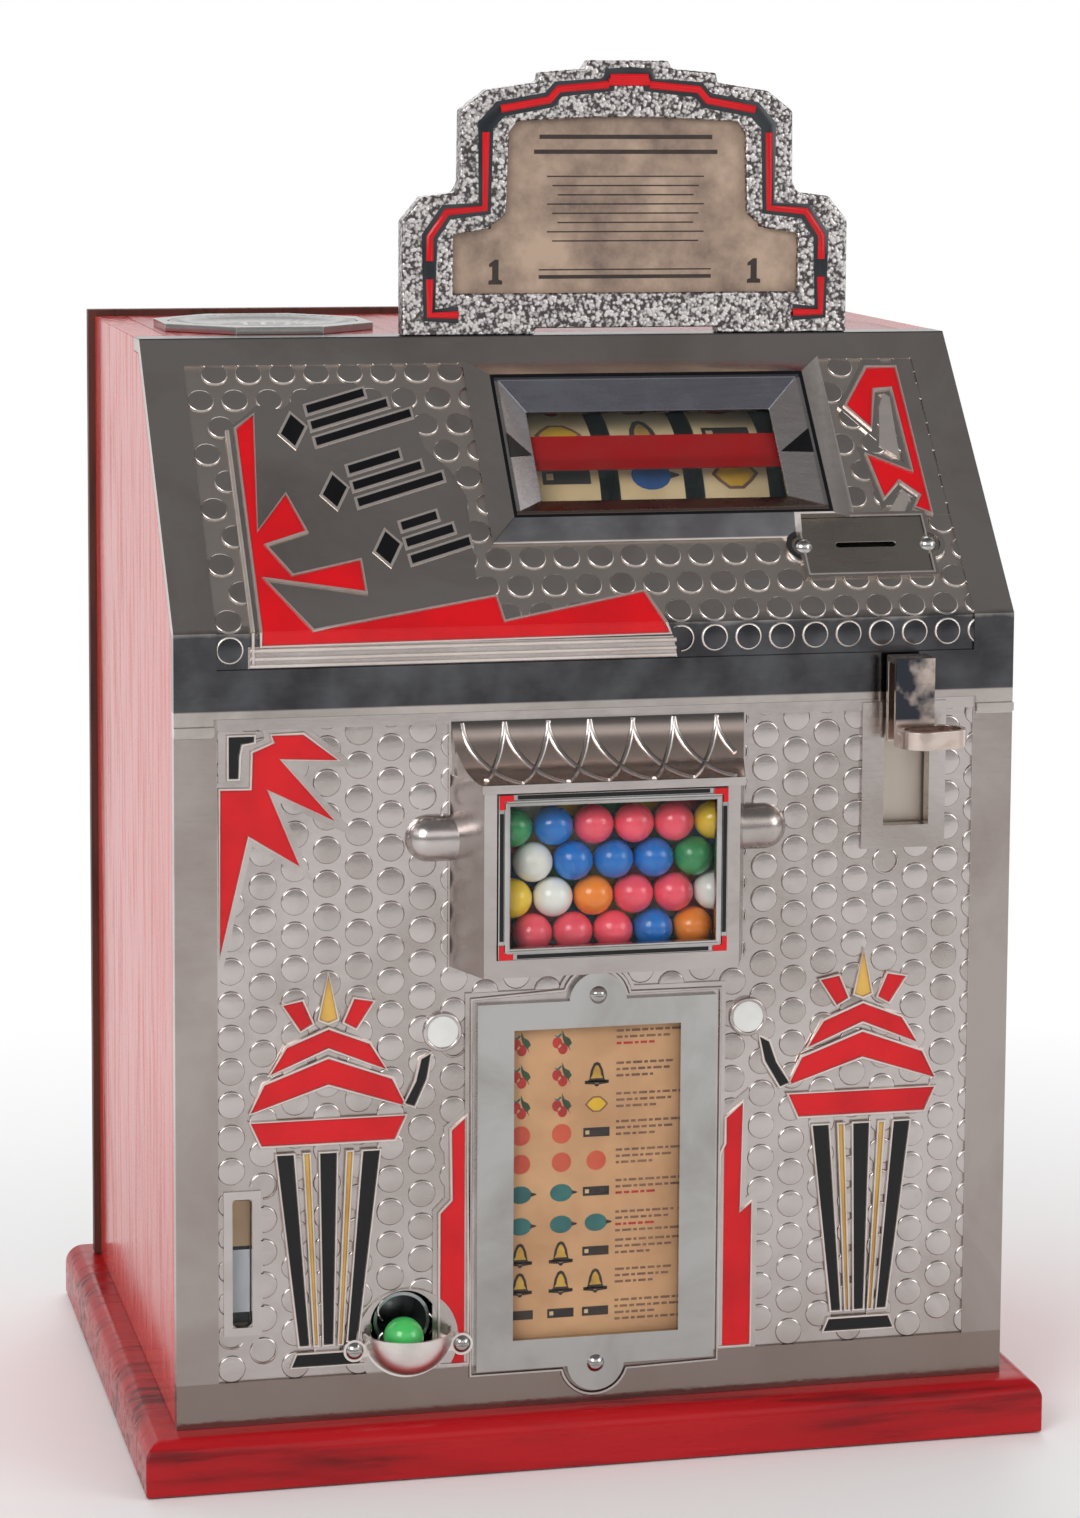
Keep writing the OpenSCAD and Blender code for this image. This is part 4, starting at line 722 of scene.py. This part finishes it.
for name, outline, thick, finish, grow in slope_reliefs:
    lay_flat(name, [outline], thick, finish, -ground_sink, lie_on_slope, grow)
lay_bead("foot_beads", [[(-126, z), (26.5, z)] for z in (295.6, 292.7, 290.2)], 0.9, rubbed_edge, 0.6,
         closed=False)

# Window frame, glass and red strip
# A polished funnel-shaped frame is let into the head from behind, with the pane and a red translucent
# strip across it. A black pointer is painted at each end of the middle row.
bright_plate = metal_finish("bright_plate", (184, 182, 180), (148, 144, 138), patch=24.0, gloss=0.09,
                            pitting=0.05)
bezel_plate, tree, shader, place, looks = begin_metal("bezel_plate", (182, 177, 176), (150, 143, 140),
                                                      patch=40.0, wear=0.7, pitting=0.08)
# its upper bevel is painted dark blue-grey and its lower one brown, as painted reflections, each as far as the
# mitres
out, along = on_slope(tree, place)
mitre, bevel_top, bevel_foot = -1.308, 0.0640, -0.5394
upper = reckon(tree, "MULTIPLY_ADD", out, mitre, along)
upper = mask_of(tree, upper, bevel_top, bevel_top + 0.0003)
lower = reckon(tree, "MULTIPLY_ADD", out, mitre, reckon(tree, "MULTIPLY", along, -1.0))
lower = mask_of(tree, lower, bevel_foot, bevel_foot + 0.0003)
reflected_blue_grey = tone_of(tree, upper, looks["Base Color"], (112, 112, 120))
join(tree, shader, {**looks, "Base Color": tone_of(tree, lower, reflected_blue_grey, (128, 112, 104))})
round_edges("reel_bezel", bezel_plate, 0.4)


def glass_finish(name, tint, alpha, **values):
    """a clear pane, slightly dusty"""
    finish, tree, shader, place = new_finish(name, Base_Color=stain(*tint), IOR=1.45, Roughness=0.04, **values)
    dust = noise_of(tree, place, 70.0, 4.0)
    join(tree, shader, {"Alpha": mask_of(tree, dust, 0.4, 0.8, alpha, alpha + 0.06)})
    return finish


dress(glass_finish("pane_glass", (96, 104, 104), 0.06), "reel_glass", "gum_glass", "card_glass", "coin_glass")
dress(glass_finish("red_film", (158, 12, 16), 0.92, Specular_IOR_Level=0.15), "line_strip")
window_x, window_s = 32.8, 75.6
bevel_edge, bevel_rise, bevel_fall = 56.75, 3.6, 0.679
arrows = [[(window_x + side * 56.8, window_s - 5.4), (window_x + side * 56.8, window_s + 5.4),
           (window_x + side * 47, window_s)] for side in (-1, 1)]
pointers = cut_sheet("window_pointers", arrows, 0.5)
for vertex in pointers.data.vertices:
    inward = bevel_edge - abs(vertex.co.x / mm - window_x)
    vertex.co.z += (bevel_rise - bevel_fall * inward) * mm
lie_on_slope(pointers, -0.1)
settle(pointers, "window_pointers", black_enamel)
# a black sheet in the gap round the frame stands for the shade in it: painted shade
gap = [oblong(window_x - w, window_s - h, window_x + w, window_s + h) for w, h in ((59.3, 31.9), (58.1, 30.7))]
lay_flat("window_gap_shade", gap, 0.2, black_enamel, 3.5, lie_on_slope)

# Coin entry, screws and coin view
# A polished plate with the coin slot, held by two screws, and a narrow pane at the lower left that
# shows the last coins in their race.
dress(bright_plate, "front_screws")
coin_plate_metal = metal_finish("coin_plate_metal", (172, 164, 156), (124, 116, 108))
round_edges("coin_plate", coin_plate_metal, 0.3)
lay_bead("plate_rim", [oblong(79.0, 18.4, 126.2, 43.6)], 0.75, rubbed_edge, 0.0, lie_on_slope, height=0.2)
coin_y, paper_y = 5.6, 5.25
view_brass = metal_finish("view_brass", (196, 168, 136), (150, 124, 98), gloss=0.4)
lay_flat("coin_view_dark", [oblong(-132.4, 55.2, -125.6, 101.3)], 0.3, view_brass, coin_y)
lay_flat("coin_view_frame", [oblong(-135.6, 52.2, -122.4, 104.3), oblong(-132.5, 55.1, -125.5, 101.4)], 0.95,
         satin_plate, 1.3)
view_paper = enamel_finish("view_paper", (206, 210, 216), (190, 194, 200))
view_lines = [oblong(-132.3, z, -125.7, z + high) for z, high in ((55.4, 4.0), (82.0, 1.3), (99.8, 1.5))]
lay_flat("coin_view_pale", [oblong(-132.3, 59.4, -125.7, 82)], 0.1, view_paper, paper_y)
lay_flat("coin_view_line", view_lines, 0.1, black_enamel, paper_y)

# Gum window
# A polished frame round the pane, with black grooves beside the bars and a red triangle in each corner.
# Behind it the gum balls lie in two layers.
round_edges("gum_frame", bright_plate, 0.35)


def candy_finish(name, colour, dark):
    """a glossy sugar shell with faint mottling"""
    finish, tree, shader, place = new_finish(name, Coat_Weight=0.4, Coat_Roughness=0.08)
    mottle = noise_of(tree, place, 120.0, 4.0)
    share = mask_of(tree, mottle, 0.45, 0.75)
    join(tree, shader, {"Base Color": tone_of(tree, share, colour, dark),
                        "Roughness": reckon(tree, "MULTIPLY_ADD", share, 0.15, 0.2),
                        "Normal": bump_of(tree, mottle, 0.08, 0.0004)})
    return finish


candies = {name[0]: candy_finish("candy_" + name, colour, dark)
           for name, colour, dark in (("green", (46, 150, 84), (34, 124, 66)),
                                      ("blue", (0, 116, 204), (0, 98, 184)),
                                      ("pink", (252, 84, 104), (236, 66, 88)),
                                      ("yellow", (244, 206, 40), (226, 180, 30)),
                                      ("white", (238, 238, 230), (220, 218, 206)),
                                      ("orange", (250, 140, 30), (232, 116, 22)))}
# each letter is the first of a ball's colour, from the lowest row up
layers = ((-10.85, 194.7, ("pppbo", "ywoppw", "wbbbg", "gbpppy")),
          (4.95, 201.0, ("gpbywp", "bgypo", "pywbgb", "wygyp")))
ball_x, ball_radius, ball_pitch, row_rise = 1.3, 7.1, 14.6, 12.66
for layer, (y, lowest, rows) in enumerate(layers):
    for r, row in enumerate(rows):
        z = lowest + row_rise * r
        for k, letter in enumerate(row):
            x = ball_x + (k - (len(row) - 1) / 2) * ball_pitch
            drop_selection()
            bpy.ops.mesh.primitive_uv_sphere_add(segments=32, ring_count=20, radius=ball_radius * mm,
                                                 location=(x * mm, y * mm, z * mm),
                                                 rotation=(0.4 * k, 0.7 * r, 0.3 * k))
            ball = bpy.context.object
            bpy.ops.object.transform_apply()
            open_mesh()
            # each ball is a little flattened where it was dropped
            bpy.ops.transform.resize(value=(1.0, 1.0, 0.985 + 0.004 * ((k + r) % 4)),
                                     center_override=(ball_x * mm, y * mm, z * mm))
            close_mesh()
            settle(ball, "gum_ball_%d_%d_%d" % (layer, r, k), candies[letter])
            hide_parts("gum_balls")
dress(candy_finish("candy_cup", (70, 190, 96), (50, 164, 78)), "cup_ball")

middle_x, pane_z, bar_y, frame_y, groove = -1.6, 217.25, -23.3, -23.15, 0.7
bars = [[(middle_x - 38.4, bar_y, pane_z + h), (middle_x + 38.4, bar_y, pane_z + h)] for h in (-26.1, 26.1)]
bars += [[(middle_x + w, bar_y, pane_z - 26.4), (middle_x + w, bar_y, pane_z + 26.4)] for w in (-38.1, 38.1)]
lay_bead("gum_cross_bars", bars, 1.15, bright_plate, closed=False)
grooves = [oblong(middle_x - 34.5, pane_z + h - groove, middle_x + 34.5, pane_z + h + groove)
           for h in (-28.1, 28.1)]
grooves += [oblong(middle_x + w - groove, pane_z - 22.5, middle_x + w + groove, pane_z + 22.5)
            for w in (-40.1, 40.1)]
corner = ((41, 29), (41, 24), (39.2, 24), (39.2, 26.9), (36, 26.9), (36, 29))
corners = [[(middle_x + a * x, pane_z + b * z) for x, z in corner] for a in (-1, 1) for b in (-1, 1)]
lay_flat("gum_grooves", grooves, 0.25, black_enamel, frame_y)
lay_flat("gum_corners", corners, 0.9, red_enamel, frame_y)

# Cove over the gum window
# Two sets of crossing arcs are cast on the hollow of the canopy, like gathered drapery.
cove_top, cove_deep, cove_high = 269.5, 24.5, 19.5


def on_cove(degrees):
    """the hollow's depth and height in mm, at an angle from its upper edge"""
    angle = math.radians(degrees)
    return -cove_deep * (1 - math.cos(angle)), cove_top - cove_high * math.sin(angle)


arcs = []
for start, run in ([(-51 + 15.35 * k, 17) for k in range(7)] + [(-20 + 30.7 * k, -15) for k in range(3)]
                   + [(-36 + 30.7 * k, -13) for k in range(4)]):
    arc = []
    for degrees in [4 + i * 10.2 for i in range(9)]:
        y, z = on_cove(degrees)
        x = start + run * (1 - math.cos(math.radians(degrees))) * 1.05
        if abs(x - middle_x) < 51.5 + y * 0.24:
            arc.append((x, y - 0.1, z))
    if len(arc) > 2:
        arcs.append(arc)
drop_selection()
bpy.ops.mesh.primitive_grid_add(x_subdivisions=2, y_subdivisions=14, size=1.0)
cove = bpy.context.object
for point in cove.data.vertices:
    y, z = on_cove(2 + 86 * (0.5 - point.co.y))
    point.co = ((middle_x + 2 * point.co.x * (53.2 + y * 0.28)) * mm, (y - 0.15) * mm, z * mm)
hollow_plate, tree, shader, place, looks = begin_metal("hollow_plate", (108, 104, 102), (84, 79, 77),
                                                       patch=24.0, gloss=0.14, pitting=0.04)
# the hollow is painted dark as painted shade under the canopy, and pale towards the window as a painted
# reflection
pale_reflection = mask_of(tree, axis_of(tree, place, "Z"), 0.268, 0.255)
join(tree, shader, {**looks, "Base Color": tone_of(tree, pale_reflection, looks["Base Color"], (238, 214, 202))})
settle(cove, "canopy_hollow", hollow_plate, sharp=60)
lay_bead("canopy_drapery", arcs, 1.0, satin_plate, closed=False)

# Award card
# A printed card behind glass in a plated frame with two screw ears: rows of fruit, bells and bars, each
# with ruled lines beside it.
round_edges("card_frame", bright_plate, 0.4)
edge_x, ear_radius, rim_low, rim_top = 45.6, 12.4, 32.2, 169.3


def ear(z, first, last):
    """the arc of the rim round one ear, between two angles"""
    return [(middle_x + ear_radius * math.cos(math.radians(a)), z + ear_radius * math.sin(math.radians(a)))
            for a in range(first, last, 10)]


card_rim = [(middle_x - edge_x, rim_low), *ear(35, 193, 348), (middle_x + edge_x, rim_low),
            (middle_x + edge_x, rim_top), *ear(167, 11, 170), (middle_x - edge_x, rim_top)]
lay_bead("card_rim", [card_rim], 0.8, satin_plate, 0.0, height=0.25)


def paper_finish(name, colour, dark, size=28.0):
    """aged card, paper or print, browned in clouds and specked"""
    finish, tree, shader, place = new_finish(name)
    fibre = noise_of(tree, place, 900.0, 2.0)
    cloud = mask_of(tree, noise_of(tree, place, size, 6.0, Roughness=0.65), 0.38, 0.7)
    join(tree, shader, {"Base Color": tone_of(tree, cloud, colour, dark),
                        "Roughness": reckon(tree, "MULTIPLY_ADD", fibre, 0.2, 0.6),
                        "Normal": bump_of(tree, fibre, 0.1, 0.0002)})
    return finish


award_paper = paper_finish("award_paper", (206, 160, 116), (180, 134, 94))
award_sheet = lay_flat("award_sheet", [oblong(-36.8, 39.3, 33.6, 162.2)], 0.6, award_paper, 2.75)
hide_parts("award_card")


def ring_of(x, y, w, h, count):
    """an oval outline"""
    return [(x + w * math.cos(2 * math.pi * i / count), y + h * math.sin(2 * math.pi * i / count))
            for i in range(count)]


def bell_of(w, top, low):
    """a bell's outline"""
    flank = [(0.68 * w, low + 0.3), (0.55 * w, 0.3), (0.28 * w, top - 0.14)]
    return [(-w, low), (w, low), *flank, (0, top), *[(-x, y) for x, y in reversed(flank)]]


def twice(half):
    """an outline from its upper half, from the left tip round to the right"""
    return half + [(-x, -y) for x, y in half]


# the outlines of each printed symbol by ink, about its middle, for a half height of one
symbols = {"cherries": {"red": [ring_of(-0.36, 0.02, 0.36, 0.42, 12), ring_of(0.05, -0.42, 0.36, 0.42, 12)],
                        "green": [[(0.0, 0.95), (0.2, 0.5), (0.55, 0.3), (0.72, -0.05), (0.5, -0.28),
                                   (0.66, -0.66), (0.42, -0.3), (0.12, 0.05), (0.02, 0.4)]],
                        "teal": [[(-0.6, 0.6), (-0.3, 0.34), (0.0, 0.62), (-0.12, 0.7), (-0.32, 0.5)]]},
           "orange": {"orange": [ring_of(0, 0, 0.82, 0.82, 18)]},
           "plum": {"teal": [ring_of(0, 0, 0.92, 0.72, 18)],
                    "ink": [[(0.85, 0.18), (1.3, 0.04), (1.3, -0.06), (0.85, -0.18)]]},
           "lemon": {"faint": [twice([(-1.1, 0), (-0.8, 0.36), (-0.35, 0.74), (0.35, 0.74), (0.8, 0.36)])],
                     "yellow": [twice([(-0.9, 0), (-0.66, 0.28), (-0.28, 0.6), (0.28, 0.6), (0.66, 0.28)])]},
           "bell": {"ink": [bell_of(1.0, 1.04, -0.8), oblong(-1.08, -0.9, 1.08, -0.6),
                            ring_of(0, -0.98, 0.22, 0.2, 8)],
                    "amber": [bell_of(0.56, 0.76, -0.42)]},
           "bar": {"ink": [oblong(-1.1, -0.38, 1.1, 0.38)], "pale": [oblong(-0.92, -0.16, -0.6, 0.16)]}}


def draw(kind, x, y, r):
    """the outlines of one printed symbol by ink, about a middle, r its half height"""
    return {ink: [[(x + a * r, y + b * r) for a, b in outline] for outline in outlines]
            for ink, outlines in symbols[kind].items()}


inks = {ink: paper_finish("ink_" + name, colour, dark, 90.0)
        for ink, name, colour, dark in (("red", "red", (190, 52, 48), (150, 34, 34)),
                                        ("orange", "orange", (206, 92, 64), (184, 70, 50)),
                                        ("teal", "teal", (52, 108, 104), (36, 84, 86)),
                                        ("yellow", "yellow", (224, 182, 44), (200, 150, 34)),
                                        ("amber", "amber", (206, 164, 72), (160, 116, 44)),
                                        ("green", "green", (58, 78, 52), (40, 58, 40)),
                                        ("blue", "blue", (24, 92, 160), (18, 66, 128)),
                                        ("ink", "dark", (58, 44, 38), (34, 28, 26)),
                                        ("faint", "faint", (134, 98, 76), (104, 72, 60)),
                                        ("pale", "pale", (214, 190, 152), (190, 162, 126)))}
award_rows = [(151.4, "cherries", "cherries"), (139.6, "cherries", "cherries", "bell"),
              (128.4, "cherries", "cherries", "lemon"), (118.2, "orange", "orange", "bar"),
              (107.8, "orange", "orange", "orange"),
              (96.6, "plum", "plum", "bar"), (85.0, "plum", "plum", "plum"),
              (74.6, "bell", "bell", "bar"), (63.8, "bell", "bell", "bell"), (52.4, "bar", "bar", "bar")]
symbol_sizes = {"cherries": 5.0, "bell": 4.1, "plum": 4.5, "orange": 4.4, "lemon": 3.9, "bar": 4.4}
word_lengths = (2.6, 1.5, 3.1, 2.2, 1.2, 2.8, 1.8, 3.4, 1.4, 2.4, 2.0)
text_left, text_rights, line_pitch, line_high, word_gap = 6.4, (28.0, 26.8, 19.5, 27.4), 2.3, 0.9, 0.75
printed = {ink: [] for ink in inks}
for r, (z, *kinds) in enumerate(award_rows):
    for x, kind in zip((-28.6, -13.6, -0.8), kinds):
        for ink, outlines in draw(kind, x, z, symbol_sizes[kind]).items():
            printed[ink] += outlines
    for k in range(4 if r in (6, 9) else 3):
        x, word, line_z = text_left, k * 3 + r * 5, z + 3.0 - k * line_pitch
        ink = "red" if k == 2 and r in (0, 5, 6) else "faint"
        while x < text_rights[k]:
            wide = word_lengths[word % len(word_lengths)]
            printed[ink].append(oblong(x, line_z, x + wide, line_z + line_high))
            x += wide + word_gap
            word += 1
print_y, print_thick, print_step = 2.14, 0.03, 0.012
for lift, ink in enumerate(("faint", "red", "orange", "teal", "green", "ink", "yellow", "amber", "pale")):
    lay_flat("award_" + ink, printed[ink], print_thick, inks[ink], print_y - print_step * lift)

# Gum cup and thumb lever
# The delivery cup is a plated spoon on a flange with two scrolled ears. The lever is a plated strap that
# slides down its slot, with a dished thumb piece.
cup_plate = metal_finish("cup_plate", (236, 230, 226), (204, 194, 188), patch=60.0, wear=0.5, gloss=0.24)
round_edges("gum_cup", cup_plate, 0.25, sharp=35)
bowl_x, bowl_y, bowl_z, bowl_wall = -70, -1.2, 50.6, 0.9
drop_selection()
bpy.ops.mesh.primitive_uv_sphere_add(segments=48, ring_count=24, radius=1.0,
                                     location=(bowl_x * mm, bowl_y * mm, bowl_z * mm))
bowl = bpy.context.object
bowl.scale = (16.2 * mm, 14.2 * mm, 15.6 * mm)
bpy.ops.object.transform_apply()
open_mesh()
cut_away((0, 0, bowl_z), (0, 0, 1))
cut_away((0, bowl_y, 0), (0, 1, 0))
close_mesh()
modify(bowl, "SOLIDIFY", thickness=bowl_wall * mm)
settle(bowl, "cup_bowl", cup_plate, sharp=50)
lever_plate, tree, shader, place, looks = begin_metal("lever_plate", (208, 192, 182), (164, 146, 136),
                                                      patch=60.0, wear=0.7, gloss=0.14, pitting=0.08)
# the front of the strap is painted blue-black as a painted dark reflection, but for a painted highlight patch at
# its right
strap_y, strap_z = -0.014, 0.2655
strap_highlight = reckon(tree, "MULTIPLY_ADD", axis_of(tree, place, "X"), 26.0, noise_of(tree, place, 150.0, 4.0))
dark = reckon(tree, "MULTIPLY", mask_of(tree, axis_of(tree, place, "Y"), strap_y, strap_y - 0.0003),
              mask_of(tree, axis_of(tree, place, "Z"), strap_z, strap_z + 0.0015))
dark = reckon(tree, "MULTIPLY", dark, mask_of(tree, strap_highlight, 3.3, 3.6, 1.0, 0.0))
join(tree, shader, {**looks, "Base Color": tone_of(tree, dark, looks["Base Color"], (60, 62, 70))})
round_edges("thumb_lever", lever_plate, 0.6, body="lever", sharp=35)

# Reels
# Paper strips on dark drums, printed with one symbol at each of the sixteen stops. At rest the
# window shows the symbols above and below the red strip.
reel_y, reel_z, strip_radius, reel_pitch = 103.024, 320.304, 50.06, 32
stop_pitch, turn_radius, symbol_size, first_stop = 19.635, 50.0, 8.2, math.radians(124.3)
print_thick, print_step, fold = 0.05, 0.02, 5
dress(paper_finish("reel_paper", (238, 214, 168), (214, 186, 136)), "reel_strip_1", "reel_strip_2",
      "reel_strip_3")
stops = ["bell", "plum", "bar", "lemon", "cherries", "orange", "plum", "bell", "cherries", "lemon", "orange",
         "plum", "bar", "cherries", "orange", "lemon"]
for reel, in_window in ((1, ("lemon", "bar")), (2, ("bell", "plum")), (3, ("bar", "lemon"))):
    prints = {}
    for stop in range(len(stops)):
        kind = in_window[stop] if stop < 2 else stops[(stop + 5 * reel) % len(stops)]
        for ink, outlines in draw(kind, 0, -stop_pitch * stop, symbol_size).items():
            prints.setdefault("blue" if ink == "teal" else ink, []).extend(outlines)
    middle = window_x + (reel - 2) * reel_pitch
    for lift, (ink, outlines) in enumerate(prints.items()):
        band = cut_sheet("reel_%d_%s" % (reel, ink), outlines, print_thick)
        open_mesh()
        for k in range(-60, 8):
            bpy.ops.mesh.select_all(action="SELECT")
            bpy.ops.mesh.bisect(plane_co=(0, k * fold * mm, 0), plane_no=(0, 1, 0))
        bpy.ops.mesh.select_all(action="DESELECT")
        close_mesh()
        # the flat print is wrapped round the drum, with the first stop at the top of the window
        for point in band.data.vertices:
            x, y, out = (v / mm for v in point.co)
            turn = first_stop - y / turn_radius
            r = strip_radius + print_step * lift + out
            y, z = reel_y + r * math.cos(turn), reel_z + r * math.sin(turn)
            point.co = ((x + middle) * mm, y * mm, z * mm)
        settle(band, "reel_%d_%s" % (reel, ink), inks[ink], body="reel_%d" % reel, sharp=0)

# Sign
# A cast frame with a silver crackle finish, a dark channel with a red enamelled line in it, and an
# aged printed card behind.
crackle, tree, shader, place = new_finish("crackle", Metallic=1.0, Roughness=0.3)
grit = part_of(tree, "TexVoronoi", {"Vector": place, "Scale": 760.0}).outputs["Distance"]
crests = reckon(tree, "MULTIPLY_ADD", grit, 0.5, noise_of(tree, place, 600.0, 4.0))
join(tree, shader, {"Base Color": tone_of(tree, mask_of(tree, crests, 0.64, 0.88), (226, 221, 219), (88, 82, 82)),
                    "Normal": bump_of(tree, crests, 1.0, 0.0004, invert=True)})
round_edges("marquee_frame", crackle, 0.8)
dress(paper_finish("sign_card", (176, 152, 132), (112, 94, 84), 40.0), "marquee_card")
dress(plain_steel, "marquee_backplate")
sign_x, sign_z, channel_y, line_y, card_y = 29.4, 398, 85.5, 85.0, 88.59


def on_sign(points, side=1):
    """points of the sign's right half, or mirrored to its left one, from its foot's middle"""
    return [(sign_x + side * x, sign_z + z) for x, z in points]


half_line = [(64, 7.6), (74.8, 7.6), (74.8, 36.3), (68.5, 45.3), (54.2, 46.6), (53.9, 77.0), (48.4, 83.0),
             (30.2, 86.3), (26.6, 90.3), (7.8, 92.0), (7.0, 95.4), (0, 95.4)]
channel = on_sign(half_line, -1) + on_sign(reversed(half_line[:-1]))
channel_black = enamel_finish("channel_black", (34, 38, 42), (52, 56, 60))
lay_bead("sign_channel", [channel], 3.1, channel_black, channel_y, closed=False, flatten=0.2)
half_parts = [[(64, 7.6), (74.8, 7.6), (74.8, 20.8)],
              [(74.8, 27.5), (74.8, 36.3), (68.5, 45.3), (54.2, 46.6), (53.9, 74.5)],
              [(48.4, 83.0), (30.2, 86.3), (26.6, 90.3), (7.8, 92.0)]]
red_parts = [on_sign(part, side) for side in (-1, 1) for part in half_parts]
red_parts += [on_sign([(-w, z), (w, z)]) for w, z in ((7.8, 93), (7.2, 94.6))]
lay_bead("sign_line", red_parts, 1.4, red_enamel, line_y, closed=False, flatten=0.55)
rulings = [(72, 33, 1.6), (66.5, 35, 1.6), *[(58 - 3.4 * k, 30 - (k % 3) * 2, 0.5) for k in range(8)],
           (20.5, 33, 1.4), (23.6, 33, 0.5)]
rules = [on_sign(oblong(-w, z, w, z + high)) for z, w, high in rulings]
one = [(0, 0), (5.2, 0), (5.2, 1.4), (3.8, 1.8), (3.8, 9.2), (2.4, 9.2), (0.2, 7.6), (0.2, 6.4), (1.4, 6.7),
       (1.4, 1.8), (0, 1.4)]
rules += [on_sign([(x0 + x, 18.5 + z) for x, z in one]) for x0 in (-52, 47)]
lay_flat("sign_print", rules, 0.04, inks["ink"], card_y)

# Gum filler on top
# A plated flange screwed on the top board, with a lift-off lid.
round_edges("filler_collar", bright_plate, 0.35)
lid_plate, tree, shader, place = new_finish("lid_plate", Metallic=1.0, Roughness=0.18)
# the lid is spun a little hollow, and the shading of that hollow is painted into its colour in circles: painted
# shade and painted reflection
lid_middle, lid_radius = (-0.0985, 0.1388, 0.4), 0.04
from_axis = part_of(tree, "VectorMath", {0: place, 1: lid_middle}, operation="DISTANCE").outputs["Value"]
shade_rings = ((0.2, 60), (0.42, 150), (0.56, 146), (0.7, 50), (0.82, 70))
join(tree, shader, {"Base Color": ramp_of(tree, mask_of(tree, from_axis, 0.0, lid_radius), stain(52, 49, 48),
                                          stain(150, 144, 140), [(spot, stain(grey, grey - 3, grey - 5))
                                                                 for spot, grey in shade_rings])})
round_edges("filler_lid", lid_plate, 0.35, body="filler_lid")

# Lever return spring
# An open coil of steel wire that stands in the lever's guide and lifts the slide.
coil = copy_of("lever_spring", "lever_spring_coil")
settle(coil, "lever_spring_coil", plain_steel, sharp=50)
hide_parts("lever_spring")
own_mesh(coil)

# Works inside
# Sheet steel plates and levers, tinned chutes, brass gum wheel and black painted reel drums.
dress(metal_finish("slide_plate", (196, 184, 172), (172, 156, 142), gloss=0.34), "lever_slide")
dress(plain_steel, "lever_guide", "mech_shelf", "mech_plate_left", "mech_plate_right", "mech_ties", "reel_shaft",
      "pawl_shaft", "stop_pawl_1", "stop_pawl_2", "stop_pawl_3", "kicker")
dress(metal_finish("tin", (178, 182, 184), (126, 126, 124), patch=30.0, wear=0.7, gloss=0.3), "gum_duct",
      "gum_magazine", "gum_wheel_housing", "gum_tube", "coin_chute", "coin_race", "cash_box")
dress(lock_brass, "gum_wheel")
dress(metal_finish("drum_black", (34, 34, 38), (58, 56, 56), patch=30.0, wear=0.8, gloss=0.38, metallic=0.0),
      "reel_drum_1", "reel_drum_2", "reel_drum_3")
dress(wood_finish("cleat_wood", (1.0, 0.08, 1.0), (196, 158, 112), (150, 112, 74), 0.5, 0.55), "shelf_cleats")
